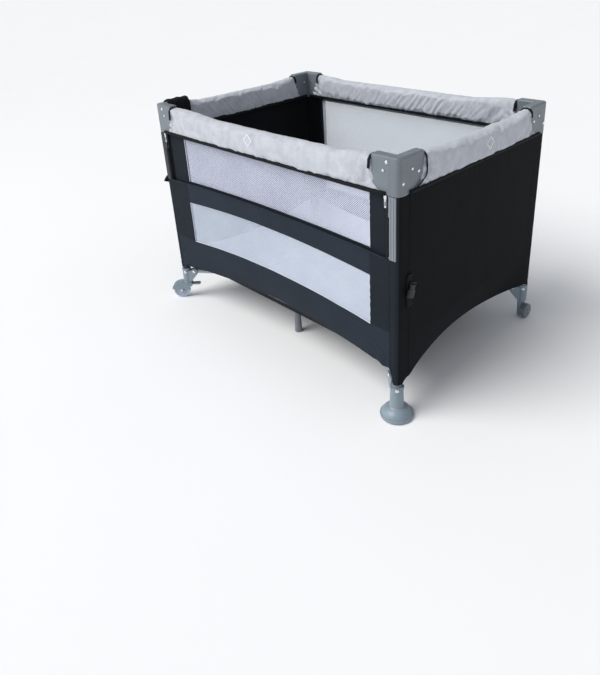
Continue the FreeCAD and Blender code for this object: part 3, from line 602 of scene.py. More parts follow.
def cornerWrap(name, corner):
    sx, sy = corners[corner]
    path = []
    front = sy < 0
    for x in spread([wall["notch"], legX + wall["trackEdge"] if front else legX], 0.0045 if front else 0.007)[:-1]:
        path.append((x, legY + wallOut, x))
    start = math.asin(wall["trackEdge"] / wallOut) if front else 0.0
    for k in range(9):
        angle = start + (math.pi / 2 - start) * k / 8
        path.append((legX + wallOut * math.sin(angle), legY + wallOut * math.cos(angle), None))
    for y in spread([legY, legY - wall["wrap"]], 0.0075)[1:]:
        path.append((legX + wallOut, y, None))
    count = 76
    columns, rows = [], []
    for px, py, _ in path:
        if py > legY:
            near, beside = easeBetween(px, wall["notch"], legX - 0.001), hems[corner]["side"]
        else:
            near, beside = easeBetween(py, legY - wall["wrap"], legY), hemAt(legX, legY - wall["wrap"], corner)
        hem = beside + (hems[corner]["tip"] - beside) * near
        split = wall["trackLow"]
        low = [hem + (split - hem) * i / 52 for i in range(52)]
        rows.append(low + [split + (wallTop - split) * i / (count - 52) for i in range(count - 52 + 1)])

        def column(z, px=px, py=py, hem=hem):
            ripple = 0.0005 * noise.noise(Vector((px * 40 * sx, py * 40 * sy, z * 10)))
            gather = 0.0008 * math.sin(z * 330 + px * 90) * max(0.0, 1 - (z - hem) / 0.10)
            away = Vector((px - legX, py - legY))
            away = away / max(away.length, 1e-6)
            if py > legY and px < legX:
                away = Vector((0, 1))
            elif py < legY:
                away = Vector((1, 0))
            shift = ripple + gather - 0.0006
            return (sx * (px + away.x * shift), sy * (py + away.y * shift), z)
        columns.append(column)

    def keep(i, j):
        return not (front and j >= 52 and (path[i][0] + path[i + 1][0]) / 2 < legX + wall["trackEdge"] - 1e-4)
    piece = clothGrid(name, columns, rows, keep, finishes["sideWall"])
    piece.data.materials.append(finishes["endWall"])
    # faces turning onto the end take the darker navy copy: painted shade of the end side
    for face in piece.data.polygons:
        if abs(face.center.x) > legX + wallOut * 0.72:
            face.material_index = 1
    faceOut(piece, (sx, sy, 0))
    return thicken(piece, wall["cloth"])


def endWall(name, corner):
    sx, sy = corners[corner]
    places = spread([0.0, legY - wall["wrap"]], 0.0085)
    outer = legX + wallOut
    count = 64

    def point(y, z, hem):
        share = max(0.0, 1 - (y / 0.31) ** 2)
        low = max(0.0, min(1.0, (0.27 - z) / (0.27 - hem)))
        x = outer - wall["endPull"] * share * low ** 1.7
        x += 0.0011 * noise.noise(Vector((sx * 7.0, sy * y * 9, z * 7))) * min(1, (0.33 - y) * 10)
        x += pucker(y, z, legY - wall["wrap"], 0.0007, 0.012, 0.022)
        x += 0.0012 * math.sin(y * 260) * max(0.0, 1 - (wallTop - z) / 0.05) * 0.5
        return (sx * x, sy * y, z)
    rows = []
    for y in places:
        hem = hemAt(legX, y, corner)
        rows.append([hem + (wallTop - hem) * i / count for i in range(count + 1)])
    columns = [lambda z, y=y, hem=row[0]: point(y, z, hem) for y, row in zip(places, rows)]
    # the end wall takes the darker navy copy of the cloth: painted shade
    piece = clothGrid(name, columns, rows, lambda i, j: True, finishes["endWall"])
    faceOut(piece, (sx, 0, 0))
    return thicken(piece, wall["cloth"])


def flatNet(name, sx, sy, inner, outer, low, high, depth, material):
    places = spread([inner, outer], 0.012)
    rows = []
    for x in places:
        a, b = low(sx * x), high(sx * x)
        rows.append([a + (b - a) * i / 22 for i in range(23)])
    columns = []
    for x, row in zip(places, rows):
        a, b = row[0], row[-1]

        def place(z, x=x, a=a, b=b):
            sag = 0.0035 * math.sin(math.pi * min(1, max(0, (z - a) / (b - a)))) * min(1, (outer - x) / 0.08)
            sag += 0.0012 * noise.noise(Vector((sx * x * 8, sy, z * 8)))
            return (sx * x, sy * (depth - abs(sag)), z)
        columns.append(place)
    piece = clothGrid(name, columns, rows, lambda i, j: True, material)
    return faceOut(piece, (0, sy, 0))


# ---- tapes, piping and stitches that follow a line
def sweep(name, path, outs, section, material, closed=False):
    count, size = len(path), len(section)
    points, faces = [], []
    for k, (point, out) in enumerate(zip(path, outs)):
        before = path[k - 1] if k or closed else path[k]
        after = path[(k + 1) % count] if k < count - 1 or closed else path[k]
        along = (Vector(after) - Vector(before)).normalized()
        out = Vector(out)
        out = (out - along * out.dot(along)).normalized()
        side = along.cross(out)
        points += [Vector(point) + out * a + side * b for a, b in section]
    for k in range(count if closed else count - 1):
        for m in range(size):
            a, b = k * size + m, k * size + (m + 1) % size
            c, d = ((k + 1) % count) * size + (m + 1) % size, ((k + 1) % count) * size + m
            faces.append((a, b, c, d))
    if not closed:
        faces += [tuple(range(size - 1, -1, -1)), tuple(range((count - 1) * size, count * size))]
    return outward(meshPiece(name, points, faces, material), 1e-7)


def flatSection(width, thickness):
    w, t = width / 2, thickness / 2
    return [(t, -w + t), (t, w - t), (t * 0.4, w - t * 0.3), (-t * 0.4, w - t * 0.3), (-t, w - t), (-t, -w + t),
            (-t * 0.4, -w + t * 0.3), (t * 0.4, -w + t * 0.3)]


def roundSection(radius, sides=8):
    return [(radius * math.cos(fullTurn * k / sides), radius * math.sin(fullTurn * k / sides)) for k in range(sides)]


def treeSocket(tree, title, kind, value=None):
    socket = tree.interface.new_socket(title, in_out="INPUT", socket_type=kind)
    if value is not None:
        socket.default_value = value
    return socket


def makeStitchTree():
    # a row of short sewn threads along a poly line
    tree = bpy.data.node_groups.new("stitchRow", "GeometryNodeTree")
    treeSocket(tree, "Geometry", "NodeSocketGeometry")
    treeSocket(tree, "Pitch", "NodeSocketFloat", 0.004)
    treeSocket(tree, "Length", "NodeSocketFloat", 0.0028)
    treeSocket(tree, "Thickness", "NodeSocketFloat", 0.0004)
    treeSocket(tree, "Thread", "NodeSocketMaterial")
    tree.interface.new_socket("Geometry", in_out="OUTPUT", socket_type="NodeSocketGeometry")
    nodes, links = tree.nodes, tree.links
    inner, outer = nodes.new("NodeGroupInput"), nodes.new("NodeGroupOutput")
    curve = nodes.new("GeometryNodeMeshToCurve")
    points = nodes.new("GeometryNodeCurveToPoints")
    points.mode = "LENGTH"
    bead = nodes.new("GeometryNodeMeshUVSphere")
    bead.inputs["Segments"].default_value = 6
    bead.inputs["Rings"].default_value = 4
    bead.inputs["Radius"].default_value = 1.0
    size = nodes.new("ShaderNodeCombineXYZ")
    half = nodes.new("ShaderNodeMath")
    half.operation = "MULTIPLY"
    half.inputs[1].default_value = 0.5
    instance = nodes.new("GeometryNodeInstanceOnPoints")
    real = nodes.new("GeometryNodeRealizeInstances")
    paint = nodes.new("GeometryNodeSetMaterial")
    for start, end in ((inner.outputs["Geometry"], curve.inputs[0]),
                       (curve.outputs[0], points.inputs["Curve"]),
                       (inner.outputs["Pitch"], points.inputs["Length"]),
                       (inner.outputs["Length"], half.inputs[0]),
                       (inner.outputs["Thickness"], size.inputs[0]),
                       (inner.outputs["Thickness"], size.inputs[1]),
                       (half.outputs[0], size.inputs[2]),
                       (points.outputs["Points"], instance.inputs["Points"]),
                       (bead.outputs["Mesh"], instance.inputs["Instance"]),
                       (points.outputs["Rotation"], instance.inputs["Rotation"]),
                       (size.outputs[0], instance.inputs["Scale"]),
                       (instance.outputs[0], real.inputs[0]),
                       (real.outputs[0], paint.inputs["Geometry"]),
                       (inner.outputs["Thread"], paint.inputs["Material"]),
                       (paint.outputs[0], outer.inputs[0])):
        links.new(start, end)
    return tree


def makeDomeTree():
    # one low round head on each vertex, standing along the vertex's own "facing"
    tree = bpy.data.node_groups.new("rivetHeads", "GeometryNodeTree")
    treeSocket(tree, "Geometry", "NodeSocketGeometry")
    treeSocket(tree, "Radius", "NodeSocketFloat", 0.005)
    treeSocket(tree, "Height", "NodeSocketFloat", 0.002)
    treeSocket(tree, "Metal", "NodeSocketMaterial")
    tree.interface.new_socket("Geometry", in_out="OUTPUT", socket_type="NodeSocketGeometry")
    nodes, links = tree.nodes, tree.links
    inner, outer = nodes.new("NodeGroupInput"), nodes.new("NodeGroupOutput")
    facing = nodes.new("GeometryNodeInputNamedAttribute")
    facing.data_type = "FLOAT_VECTOR"
    facing.inputs["Name"].default_value = "facing"
    align = nodes.new("FunctionNodeAlignRotationToVector")
    align.axis = "Z"
    ball = nodes.new("GeometryNodeMeshUVSphere")
    ball.inputs["Segments"].default_value = 20
    ball.inputs["Rings"].default_value = 10
    ball.inputs["Radius"].default_value = 1.0
    size = nodes.new("ShaderNodeCombineXYZ")
    points = nodes.new("GeometryNodeMeshToPoints")
    instance = nodes.new("GeometryNodeInstanceOnPoints")
    real = nodes.new("GeometryNodeRealizeInstances")
    smooth = nodes.new("GeometryNodeSetShadeSmooth")
    paint = nodes.new("GeometryNodeSetMaterial")
    for start, end in ((inner.outputs["Geometry"], points.inputs["Mesh"]),
                       (points.outputs[0], instance.inputs["Points"]),
                       (facing.outputs["Attribute"], align.inputs["Vector"]),
                       (align.outputs[0], instance.inputs["Rotation"]),
                       (ball.outputs["Mesh"], instance.inputs["Instance"])):
        links.new(start, end)
    for slot, title in enumerate(("Radius", "Radius", "Height")):
        links.new(inner.outputs[title], size.inputs[slot])
    for start, end in ((size.outputs[0], instance.inputs["Scale"]),
                       (instance.outputs[0], real.inputs[0]),
                       (real.outputs[0], smooth.inputs[0]),
                       (smooth.outputs[0], paint.inputs["Geometry"]),
                       (inner.outputs["Metal"], paint.inputs["Material"]),
                       (paint.outputs[0], outer.inputs[0])):
        links.new(start, end)
    return tree


stitchTree, domeTree = makeStitchTree(), makeDomeTree()


def grown(piece, tree, **values):
    maker = piece.modifiers.new("nodes", "NODES")
    maker.node_group = tree
    for item in tree.interface.items_tree:
        if item.item_type == "SOCKET" and item.in_out == "INPUT" and item.name in values:
            maker[item.identifier] = values[item.name]
    return applied(piece)


def stitches(name, paths, pitch=0.0042, length=0.0030, thickness=0.00042, finish="thread"):
    points, edges = [], []
    for path in paths:
        first = len(points)
        points += [tuple(p) for p in path]
        edges += [(first + k, first + k + 1) for k in range(len(path) - 1)]
    mesh = bpy.data.meshes.new(name)
    mesh.from_pydata(points, edges, [])
    return grown(placed(name, mesh), stitchTree, Pitch=pitch, Length=length, Thickness=thickness,
                 Thread=finishes[finish])


def rivets(name, places, radius, height, finish="steel"):
    mesh = bpy.data.meshes.new(name)
    mesh.from_pydata([tuple(p) for p, _ in places], [], [])
    facing = mesh.attributes.new("facing", "FLOAT_VECTOR", "POINT")
    facing.data.foreach_set("vector", [c for _, way in places for c in way])
    return grown(placed(name, mesh), domeTree, Radius=radius, Height=height, Metal=finishes[finish])


# ---- padded sleeves over the top rails
sleeve = {"voxel": 0.0062, "pressure": 3.2, "grow": -0.045, "cap": 0.0095, "steps": 18,
          "outerHalf": 0.0196, "innerHalf": 0.0196, "footOut": 0.0165, "footIn": -0.0125, "tape": 0.010}


sleeveFold = ((0, 0, 1), (0, 0, railZ), 0.42)


def shieldLine(z, reach):
    # how far from a leg's axis the housing's wing reaches at a height
    share = max(0.0, min(1.0, (z - 0.656) / 0.034))
    return 0.0155 + (reach - 0.0155) * (share ** 0.58)


def sleeveProfile():
    low, top, o, i = sleeveLow + 0.003, sleeveTop - 0.0015, sleeve["outerHalf"], sleeve["innerHalf"]
    return [(sleeve["footOut"], low), (o * 0.93, low + 0.016), (o, low + 0.036), (o, low + 0.058),
            (o * 0.9, top - 0.012),
            (o * 0.55, top - 0.003), (0, top), (-i * 0.55, top - 0.003), (-i * 0.9, top - 0.012), (-i, low + 0.058),
            (-i, low + 0.036), (-i * 0.86, low + 0.016), (sleeve["footIn"], low)]


def sleeveReach(z, along):
    leg, main, wing = (legX, sleeveLong, legX - sleeveLong - 0.002) if along == "x" else (legY, sleeveShort,
                                                                                          legY - sleeveShort - 0.002)
    return min(leg - 0.026, max(main, leg - shieldLine(z, wing) - 0.003))


def sleevePlace(t, o, z, along, side):
    # t along the rail, o outwards from its axis
    return (t, side * (legY + o), z) if along == "x" else (side * (legX + o), t, z)


def stretchEnd(t, z, along, main):
    start = main - 0.085
    if abs(t) <= start:
        return t
    reach = sleeveReach(z, along)
    return math.copysign(start + (abs(t) - start) * (reach - start) / (main - start), t)


def sleeveShell(name, along, side):
    profile = sleeveProfile()
    main = sleeveLong if along == "x" else sleeveShort
    ts = spread([-main, main], 0.012)
    points, faces = [], []
    size = len(profile)
    for t in ts:
        points += [sleevePlace(stretchEnd(t, z, along, main), o, z, along, side) for o, z in profile]
    for k in range(len(ts) - 1):
        for m in range(size):
            n = (m + 1) % size
            faces.append((k * size + m, k * size + n, (k + 1) * size + n, (k + 1) * size + m))
    faces += [tuple(range(size)), tuple(range((len(ts) - 1) * size, len(ts) * size))]
    return outward(meshPiece(name, points, faces, finishes["sleeve"]))


def remeshed(piece, voxel):
    again = piece.modifiers.new("voxels", "REMESH")
    again.mode, again.voxel_size, again.use_smooth_shade = "VOXEL", voxel, True
    applied(piece)
    return piece


def puffed(piece, pressure, grow, cap, steps, held):
    # cloth with air in it; held gives how firmly a place stays put
    rest = [v.co.copy() for v in piece.data.vertices]
    group = piece.vertex_groups.new(name="held")
    for vertex in piece.data.vertices:
        weight = held(vertex.co)
        if weight > 0:
            group.add([vertex.index], weight, "REPLACE")
    cloth = piece.modifiers.new("cloth", "CLOTH")
    settings = cloth.settings
    settings.quality = 5
    settings.mass = 0.25
    settings.tension_stiffness = settings.compression_stiffness = 22
    settings.shear_stiffness = 8
    settings.bending_stiffness = 0.35
    settings.use_pressure = True
    settings.uniform_pressure_force = pressure
    settings.effector_weights.gravity = 0
    settings.shrink_min = grow
    settings.vertex_group_mass = "held"
    settings.pin_stiffness = 0.6
    cloth.collision_settings.use_collision = False
    cloth.collision_settings.use_self_collision = False
    cloth.point_cache.frame_start, cloth.point_cache.frame_end = 1, steps
    scene = bpy.context.scene
    for step in range(1, steps + 1):
        scene.frame_set(step)
    grid = bpy.context.evaluated_depsgraph_get()
    moved = [v.co.copy() for v in piece.evaluated_get(grid).data.vertices]
    piece.modifiers.clear()
    piece.vertex_groups.clear()
    scene.frame_set(1)
    for vertex, a, b in zip(piece.data.vertices, rest, moved):
        shift = b - a
        if shift.length > cap:
            shift *= cap / shift.length
        vertex.co = a + shift
    return piece


def halved(piece, name, axis, keepSide):
    # one half of a piece, closed at the cut
    half = piece.copy()
    half.data = piece.data.copy()
    half.name = half.data.name = name
    bpy.context.scene.collection.objects.link(half)
    shape = bmesh.new()
    shape.from_mesh(half.data)
    normal = Vector((1, 0, 0)) if axis == "x" else Vector((0, 1, 0))
    bmesh.ops.bisect_plane(shape, geom=shape.verts[:] + shape.edges[:] + shape.faces[:], plane_co=(0, 0, 0),
                           plane_no=normal * keepSide, clear_inner=True, dist=1e-6)
    rim = [e for e in shape.edges if e.is_boundary]
    filled = bmesh.ops.holes_fill(shape, edges=rim, sides=0)["faces"]
    for face in filled:
        face.smooth = False
        for edge in face.edges:
            edge.smooth = False
    bmesh.ops.recalc_face_normals(shape, faces=shape.faces)
    shape.to_mesh(half.data)
    shape.free()
    return half


def creased(co, along, side, busy):
    # folds: fine diagonal gathers where the cloth bunches, and at the ends
    t = co.x if along == "x" else co.y
    main = sleeveLong if along == "x" else sleeveShort
    o = side * co.y - legY if along == "x" else side * co.x - legX
    if co.z < sleeveLow + 0.012:
        return Vector()
    nearEnd = max(0.0, 1 - (main + 0.01 - abs(t)) / 0.06)
    nearLatch = max(0.0, 1 - abs(t - busy[0]) / busy[1]) * busy[2]
    low = max(0.0, 1 - (co.z - sleeveLow) / 0.06)
    slant = t * 1.0 + (co.z - railZ) * (0.9 if side < 0 else -0.8)
    warp = noise.noise(Vector((t * 14, o * 20, co.z * 16 + side * 3)))
    fold = math.sin(slant * 240 + warp * 5.0)
    fine = noise.noise(Vector((slant * 90, co.z * 26, side * 5.0)))
    size = 0.0007 * noise.noise(Vector((t * 22, co.z * 30, 9.0 * side)))
    size += 0.0013 * nearLatch * (fold * 0.6 + fine) + 0.0024 * nearEnd * math.sin(co.z * 210 + t * 170 + warp * 4)
    size += 0.0009 * low * fine + 0.0006 * fine
    top = max(0.0, min(1.0, (co.z - (sleeveTop - 0.028)) / 0.028))
    way = Vector((o, 0)).normalized() * (1 - top) if abs(o) > 1e-6 else Vector((0, 0))
    out = Vector((0, side * way.x, top * 0.6)) if along == "x" else Vector((side * way.x, 0, top * 0.6))
    return out * size


def makeSleeve(name, along, side, bodies, busy, collars):
    whole = sleeveShell("sleeve_" + name, along, side)
    remeshed(whole, sleeve["voxel"])
    def held(co):
        t = abs(co.x if along == "x" else co.y)
        foot = max(0.0, 1 - (co.z - sleeveLow - 0.002) / 0.010)
        end = max(0.0, 1 - (sleeveReach(co.z, along) - t) / 0.010)
        return min(1.0, max(foot, end))
    puffed(whole, sleeve["pressure"], sleeve["grow"], sleeve["cap"], sleeve["steps"], held)
    finer = whole.modifiers.new("finer", "SUBSURF")
    finer.levels = finer.render_levels = 1
    applied(whole)
    for vertex in whole.data.vertices:
        co = vertex.co
        o = side * co.y - legY if along == "x" else side * co.x - legX
        limit = sleeve["outerHalf"] + 0.0035
        if abs(o) > limit:
            o = math.copysign(limit + (abs(o) - limit) * 0.25, o)
        z = min(co.z, sleeveTop + 0.003)
        t = co.x if along == "x" else co.y
        vertex.co = Vector(sleevePlace(t, o, z, along, side))
        vertex.co += creased(vertex.co, along, side, busy)
    print("sleeve", name, "vertices", len(whole.data.vertices))
    halves = []
    for word, keepSide, body in bodies:
        half = halved(whole, "sleeve_%s_%s" % (name, word), along, keepSide)
        halves.append((half, body, word, keepSide))
    surface = BVHTree.FromObject(whole, bpy.context.evaluated_depsgraph_get())
    bpy.data.objects.remove(whole)
    # the bottom tape folds under the sleeve, and a collar binds each end
    for half, body, word, keepSide in halves:
        low = sleeveLow + 0.002
        last = sleeveReach(low, along) + 0.002
        ts = spread([0.0, last], 0.014)
        wave = [0.0007 * noise.noise(Vector((t * 30, side * 2.0, keepSide * 3.0))) for t in ts]
        path = [sleevePlace(keepSide * t, 0.002 + w, low + w, along, side) for t, w in zip(ts, wave)]
        out = (0, side, 0) if along == "x" else (side, 0, 0)
        f, n = sleeve["footOut"] - 0.002 + 0.0026, sleeve["footIn"] - 0.002 - 0.0026
        section = [(f - 0.003, -0.0022), (f, 0.0), (f + 0.0016, 0.0055), (f + 0.0012, 0.0095), (f - 0.0022, 0.0095),
                   (0, 0.006),
                   (n + 0.0022, 0.0095), (n - 0.0012, 0.0095), (n - 0.0016, 0.0055), (n, 0.0), (n + 0.003, -0.0022)]
        flip = 1 if (Vector(path[1]) - Vector(path[0])).cross(Vector(out)).z > 0 else -1
        tape = sweep("binding_%s_%s" % (name, word), path, [out] * len(path), [(a, b * flip) for a, b in section],
                     finishes["tape"])
        profile = sleeveProfile()
        loop = []
        for (o0, z0), (o1, z1) in zip(profile, profile[1:]):
            for k in range(3):
                loop.append((o0 + (o1 - o0) * k / 3, z0 + (z1 - z0) * k / 3))
        loop.append(profile[-1])
        collarPath, collarOut = [], []
        lowest, highest = collars[word]
        for o, z in loop:
            if not lowest <= (z - sleeveLow) / (sleeveTop - sleeveLow) <= highest:
                continue
            reach = sleeveReach(z, along)
            collarPath.append(sleevePlace(keepSide * (reach + 0.0005), o * 1.06, z + (0.0012 if z > 0.73 else 0),
                                          along, side))
            way = Vector((o, 0, (z - railZ) * 0.8)).normalized()
            collarOut.append((0, side * way.x, way.z) if along == "x" else (side * way.x, 0, way.z))
        collar = sweep("collar_%s_%s" % (name, word), collarPath, collarOut,
                       flatSection(0.0060 if lowest < 0.3 else 0.0088, 0.0026), finishes["tape"])
        foldWith(half, body, *sleeveFold, "grey_cloth", "rail_sleeve_" + name)
        for piece in (tape, collar):
            foldWith(piece, body, *sleeveFold, "dark_cloth")
    return surface


def badgeOn(surface, name, along, side, place, body):
    # a plain sewn diamond
    t0, z0 = place
    rows = []

    def onCloth(t, z):
        start = Vector(sleevePlace(t, 0.08, z, along, side))
        way = Vector((0, -side, 0)) if along == "x" else Vector((-side, 0, 0))
        hit = surface.ray_cast(start, way)[0]
        return hit - way * 0.0004 if hit else start + way * 0.058
    for reach in (0.0180, 0.0169, 0.0158):
        tips = [(reach, 0), (0, reach), (-reach, 0), (0, -reach), (reach, 0)]
        rows.append([onCloth(t0 + p + (r - p) * k / 15, z0 + q + (s - q) * k / 15)
                     for (p, q), (r, s) in zip(tips, tips[1:]) for k in range(15)] + [onCloth(t0 + reach, z0)])
    badge = stitches("badge_" + name, rows, 0.0011, 0.0024, 0.0010, "badge")
    foldWith(badge, body, *sleeveFold, "grey_cloth")


# ---- floor tray and folding base pad
pad = {"voxel": 0.008, "pressure": 1.6, "grow": -0.012, "cap": 0.006, "steps": 14, "crown": 0.004,
       "folds": (-0.228, 0.0, 0.228),
       "inset": 0.004, "stack": 0.05}


def traySide(places, inner, edge):
    points, faces = [], []
    for k, place in enumerate(places):
        a, b = Vector(inner(place)), Vector(edge(place))
        for m in range(5):
            share = m / 4
            points.append(a.lerp(b, share) + Vector((0, 0, -0.003 * math.sin(math.pi * share))))
        if k:
            n = k * 5
            faces += [(n + m, n + m + 1, n + m - 4, n + m - 5) for m in range(4)]
    return points, faces


def makeTray(word, side, body):
    low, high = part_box("floor_tray")
    floorZ = low[2] + 0.0016
    hx, hy = high[0] - 0.052, high[1] - 0.052
    cx, cy = legX - 0.02, legY - 0.02

    def longEdge(x):
        share = max(0.0, 1 - (abs(x) / 0.47) ** 2)
        return (x, side * (legY + wallOut - 0.0065 - wall["hemPull"] * 0.72 * share), high[2] - 0.024 * share)

    def endEdge(y, sx):
        share = max(0.0, 1 - (abs(y) / 0.31) ** 2)
        return (sx * (legX + wallOut - 0.0065 - wall["endPull"] * 0.72 * share), side * y, high[2] - 0.024 * share)
    points, faces = [], []
    parts = [traySide(spread([-cx, cx], 0.03), lambda x: (max(-hx, min(hx, x)), side * hy, floorZ), longEdge)]
    for sx in (1, -1):
        parts.append(traySide(spread([0, cy], 0.03), lambda y, sx=sx: (sx * hx, side * min(hy, y), floorZ),
                              lambda y, sx=sx: endEdge(y, sx)))
    upright = [min(hy, y) for y in spread([0, cy], 0.03)]
    base = [(-hx, side * y, floorZ) for y in upright] + [(max(-hx, min(hx, x)), side * hy, floorZ)
                                                         for x in spread([-cx, cx], 0.03)]
    base += [(hx, side * y, floorZ) for y in reversed(upright)]
    base = [p for k, p in enumerate(base) if p != base[k - 1]]
    parts.append((base, [tuple(range(len(base)))]))
    for more, sides in parts:
        first = len(points)
        points += more
        faces += [tuple(first + v for v in face) for face in sides]
    tray = outward(meshPiece("tray_" + word, points, faces, finishes["pad"]))
    faceOut(tray, (0, 0, -1))
    thicken(tray, 0.0016)
    tray.data.materials.append(finishes["endWall"])
    for face in tray.data.polygons:       # its underside takes the end walls' darker navy copy, which is painted shade
        if face.normal.z < -0.2:
            face.material_index = 1
    foldWith(tray, body, (1, 0, 0), (0, 0, 0), pad["stack"], "pad", "floor_tray")


def makePad(bodies):
    low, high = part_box("floor_pad")
    inset = pad["inset"]
    x, y, r = high[0] - inset, high[1] - inset, 0.03
    outline = []
    for sx, sy, start in ((1, 1, 0), (-1, 1, 90), (-1, -1, 180), (1, -1, 270)):
        outline += [(sx * (x - r) + r * math.cos(math.radians(start + k * 15)),
                     sy * (y - r) + r * math.sin(math.radians(start + k * 15)))
                    for k in range(7)]
    levels = [(0.0, 0.006), (0.25, 0.0), (0.75, 0.0), (1.0, 0.006)]
    z0, z1 = low[2] + 0.0012, high[2] - 0.006
    points, faces = [], []
    size = len(outline)
    for share, narrow in levels:
        points += [(px * (1 - narrow / x), py * (1 - narrow / y), z0 + (z1 - z0) * share) for px, py in outline]
    for k in range(len(levels) - 1):
        faces += [(k * size + m, k * size + (m + 1) % size, (k + 1) * size + (m + 1) % size, (k + 1) * size + m)
                  for m in range(size)]
    faces += [tuple(range(size)), tuple(range(3 * size, 4 * size))]
    whole = outward(meshPiece("basePad", points, faces, finishes["pad"]))
    remeshed(whole, pad["voxel"])
    puffed(whole, pad["pressure"], pad["grow"], pad["cap"], pad["steps"],
           lambda co: 1.0 if co.z < z0 + 0.004 or min(abs(co.x - f) for f in pad["folds"]) < 0.006 else 0.0)
    finer = whole.modifiers.new("finer", "SUBSURF")
    finer.levels = finer.render_levels = 1
    applied(whole)
    for vertex in whole.data.vertices:
        co = vertex.co
        up = max(0.0, (co.z - z0) / (z1 - z0))
        fold = min(abs(co.x - f) for f in pad["folds"])
        dip = -0.0055 * math.exp(-(fold / 0.007) ** 2) * up
        swell = pad["crown"] * up * (1 - (co.y / y) ** 2) * min(1.0, fold / 0.10)
        crease = 0.0011 * up * noise.noise(Vector((co.x * 9 + co.y * 16, co.y * 22 - co.x * 6, 4.0)))
        co.z = max(z0, co.z + dip + swell + crease)
    print("pad vertices", len(whole.data.vertices))
    for word, keepSide, body in bodies:
        half = halved(whole, "basePad_" + word, "y", keepSide)
        foldWith(half, body, (1, 0, 0), (0, 0, 0), pad["stack"], "pad", "floor_pad")
    bpy.data.objects.remove(whole)


# ---- walls, nets and their trims
def wallFold(corner, along):
    # axis, anchor and share for a wall half to gather towards its seam beside the leg and bow outwards round the
    # folded rails; foldWith does not use them, so nothing bends
    sx, sy = corners[corner]
    if along == "x":
        return (sx, sy * 0.21, 0), (sx * wall["notch"], sy * (legY + wallOut), 0), 0.22
    return (sx * 0.12, sy, 0), (sx * (legX + wallOut), sy * (legY - wall["wrap"]), 0), 0.17


def rideWith(piece, body, slot):
    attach(piece, body)


def foldWith(piece, body, axis, anchor, keep, slot, *nodes):
    rideWith(piece, body, slot)
    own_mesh(piece)
    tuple(axis)
    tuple(anchor)
    if nodes:
        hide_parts(*nodes)


def onFront(x, z, seams=(), corner="front_right", lift=0.0):
    # a point on the outer face of a front wall half
    sx = corners[corner][0]
    return longWallPoint(sx, -1, abs(x), z, legY + wallOut + lift, corner, seams)


def frontSill(x):
    return arch(wall["sill"], x, wall["windowLeft"], wall["windowRight"])


def frontBand(x):
    return arch(wall["band"], x, wall["windowLeft"], wall["windowRight"])


def frontTop(x):
    return arch(wall["bandTop"], x)


def makeFront(word, corner):
    sx = corners[corner][0]
    window = wall["windowRight"] if sx > 0 else -wall["windowLeft"]
    body = "leg_" + corner
    fold = wallFold(corner, "x")
    cloth = longWall("frontWall_" + word, corner, -1, window, [frontSill, frontBand, frontTop, lambda x: wallTop])
    foldWith(cloth, body, *fold, "dark_cloth", "front_wall")
    net = flatNet("frontNet_" + word, sx, -1, 0.0, window + 0.006, lambda x: frontSill(x) - 0.006,
                  lambda x: frontBand(x) + 0.006,
                  legY + wallOut - 0.0034, finishes["lowNet"])
    foldWith(net, body, *fold, "net", "front_mesh")
    # trims: tape along the band's top, pale piping round the window, sewn rows beside every edge
    places = spread([0.0, window, wall["strip"][0]], 0.012)
    line = [onFront(x, frontTop(sx * x) - 0.0022, corner=corner, lift=-0.0006) for x in places]
    tape = sweep("frontTape_" + word, line, [(0, -1, 0)] * len(places), flatSection(0.0055, 0.0030), finishes["wall"])
    foldWith(tape, body, *fold, "dark_cloth")
    edge = [x for x in places if x <= window - 0.001] + [window - 0.0008]
    sill = [onFront(x, frontSill(sx * x) + 0.0004, corner=corner, lift=-0.0012) for x in edge]
    side = [onFront(window - 0.0008, z, corner=corner, lift=-0.0012)
            for z in spread([frontSill(sx * window) + 0.0004, frontBand(sx * window) - 0.0004], 0.01)]
    head = [onFront(x, frontBand(sx * x) - 0.0004, corner=corner, lift=-0.0012) for x in reversed(edge)]
    path = sill + side[1:-1] + head
    piping = sweep("frontPiping_" + word, path, [(0, -1, 0)] * len(path), roundSection(0.0013), finishes["piping"])
    foldWith(piping, body, *fold, "pad")
    def sewnAt(x, z, seams=()):
        return onFront(x, z, seams, corner, 0.0001)
    rows = []
    for gap in (0.0035, 0.0075):
        rows.append([sewnAt(x, frontSill(sx * x) - gap) for x in edge])
        rows.append([sewnAt(x, frontBand(sx * x) + gap) for x in edge])
        rows.append([sewnAt(window + gap, z, (window + 0.008,))
                     for z in spread([frontSill(sx * window) - gap, frontBand(sx * window) + gap], 0.006)])
    rows.append([sewnAt(x, frontTop(sx * x) - 0.0075) for x in places])
    hemPlaces = spread([0.0, wall["notch"] - 0.002], 0.012)
    for gap in (0.004, 0.009):
        rows.append([sewnAt(x, hemAt(x, legY, corner) + gap) for x in hemPlaces])
    rows.append([sewnAt(wall["strip"][0] - 0.008, z, (wall["strip"][0] - 0.008,))
                 for z in spread([hemAt(0.476, legY, corner) + 0.012, frontTop(0.476) - 0.012], 0.006)])
    sewn = stitches("frontStitches_" + word, rows)
    foldWith(sewn, body, *fold, "dark_cloth")


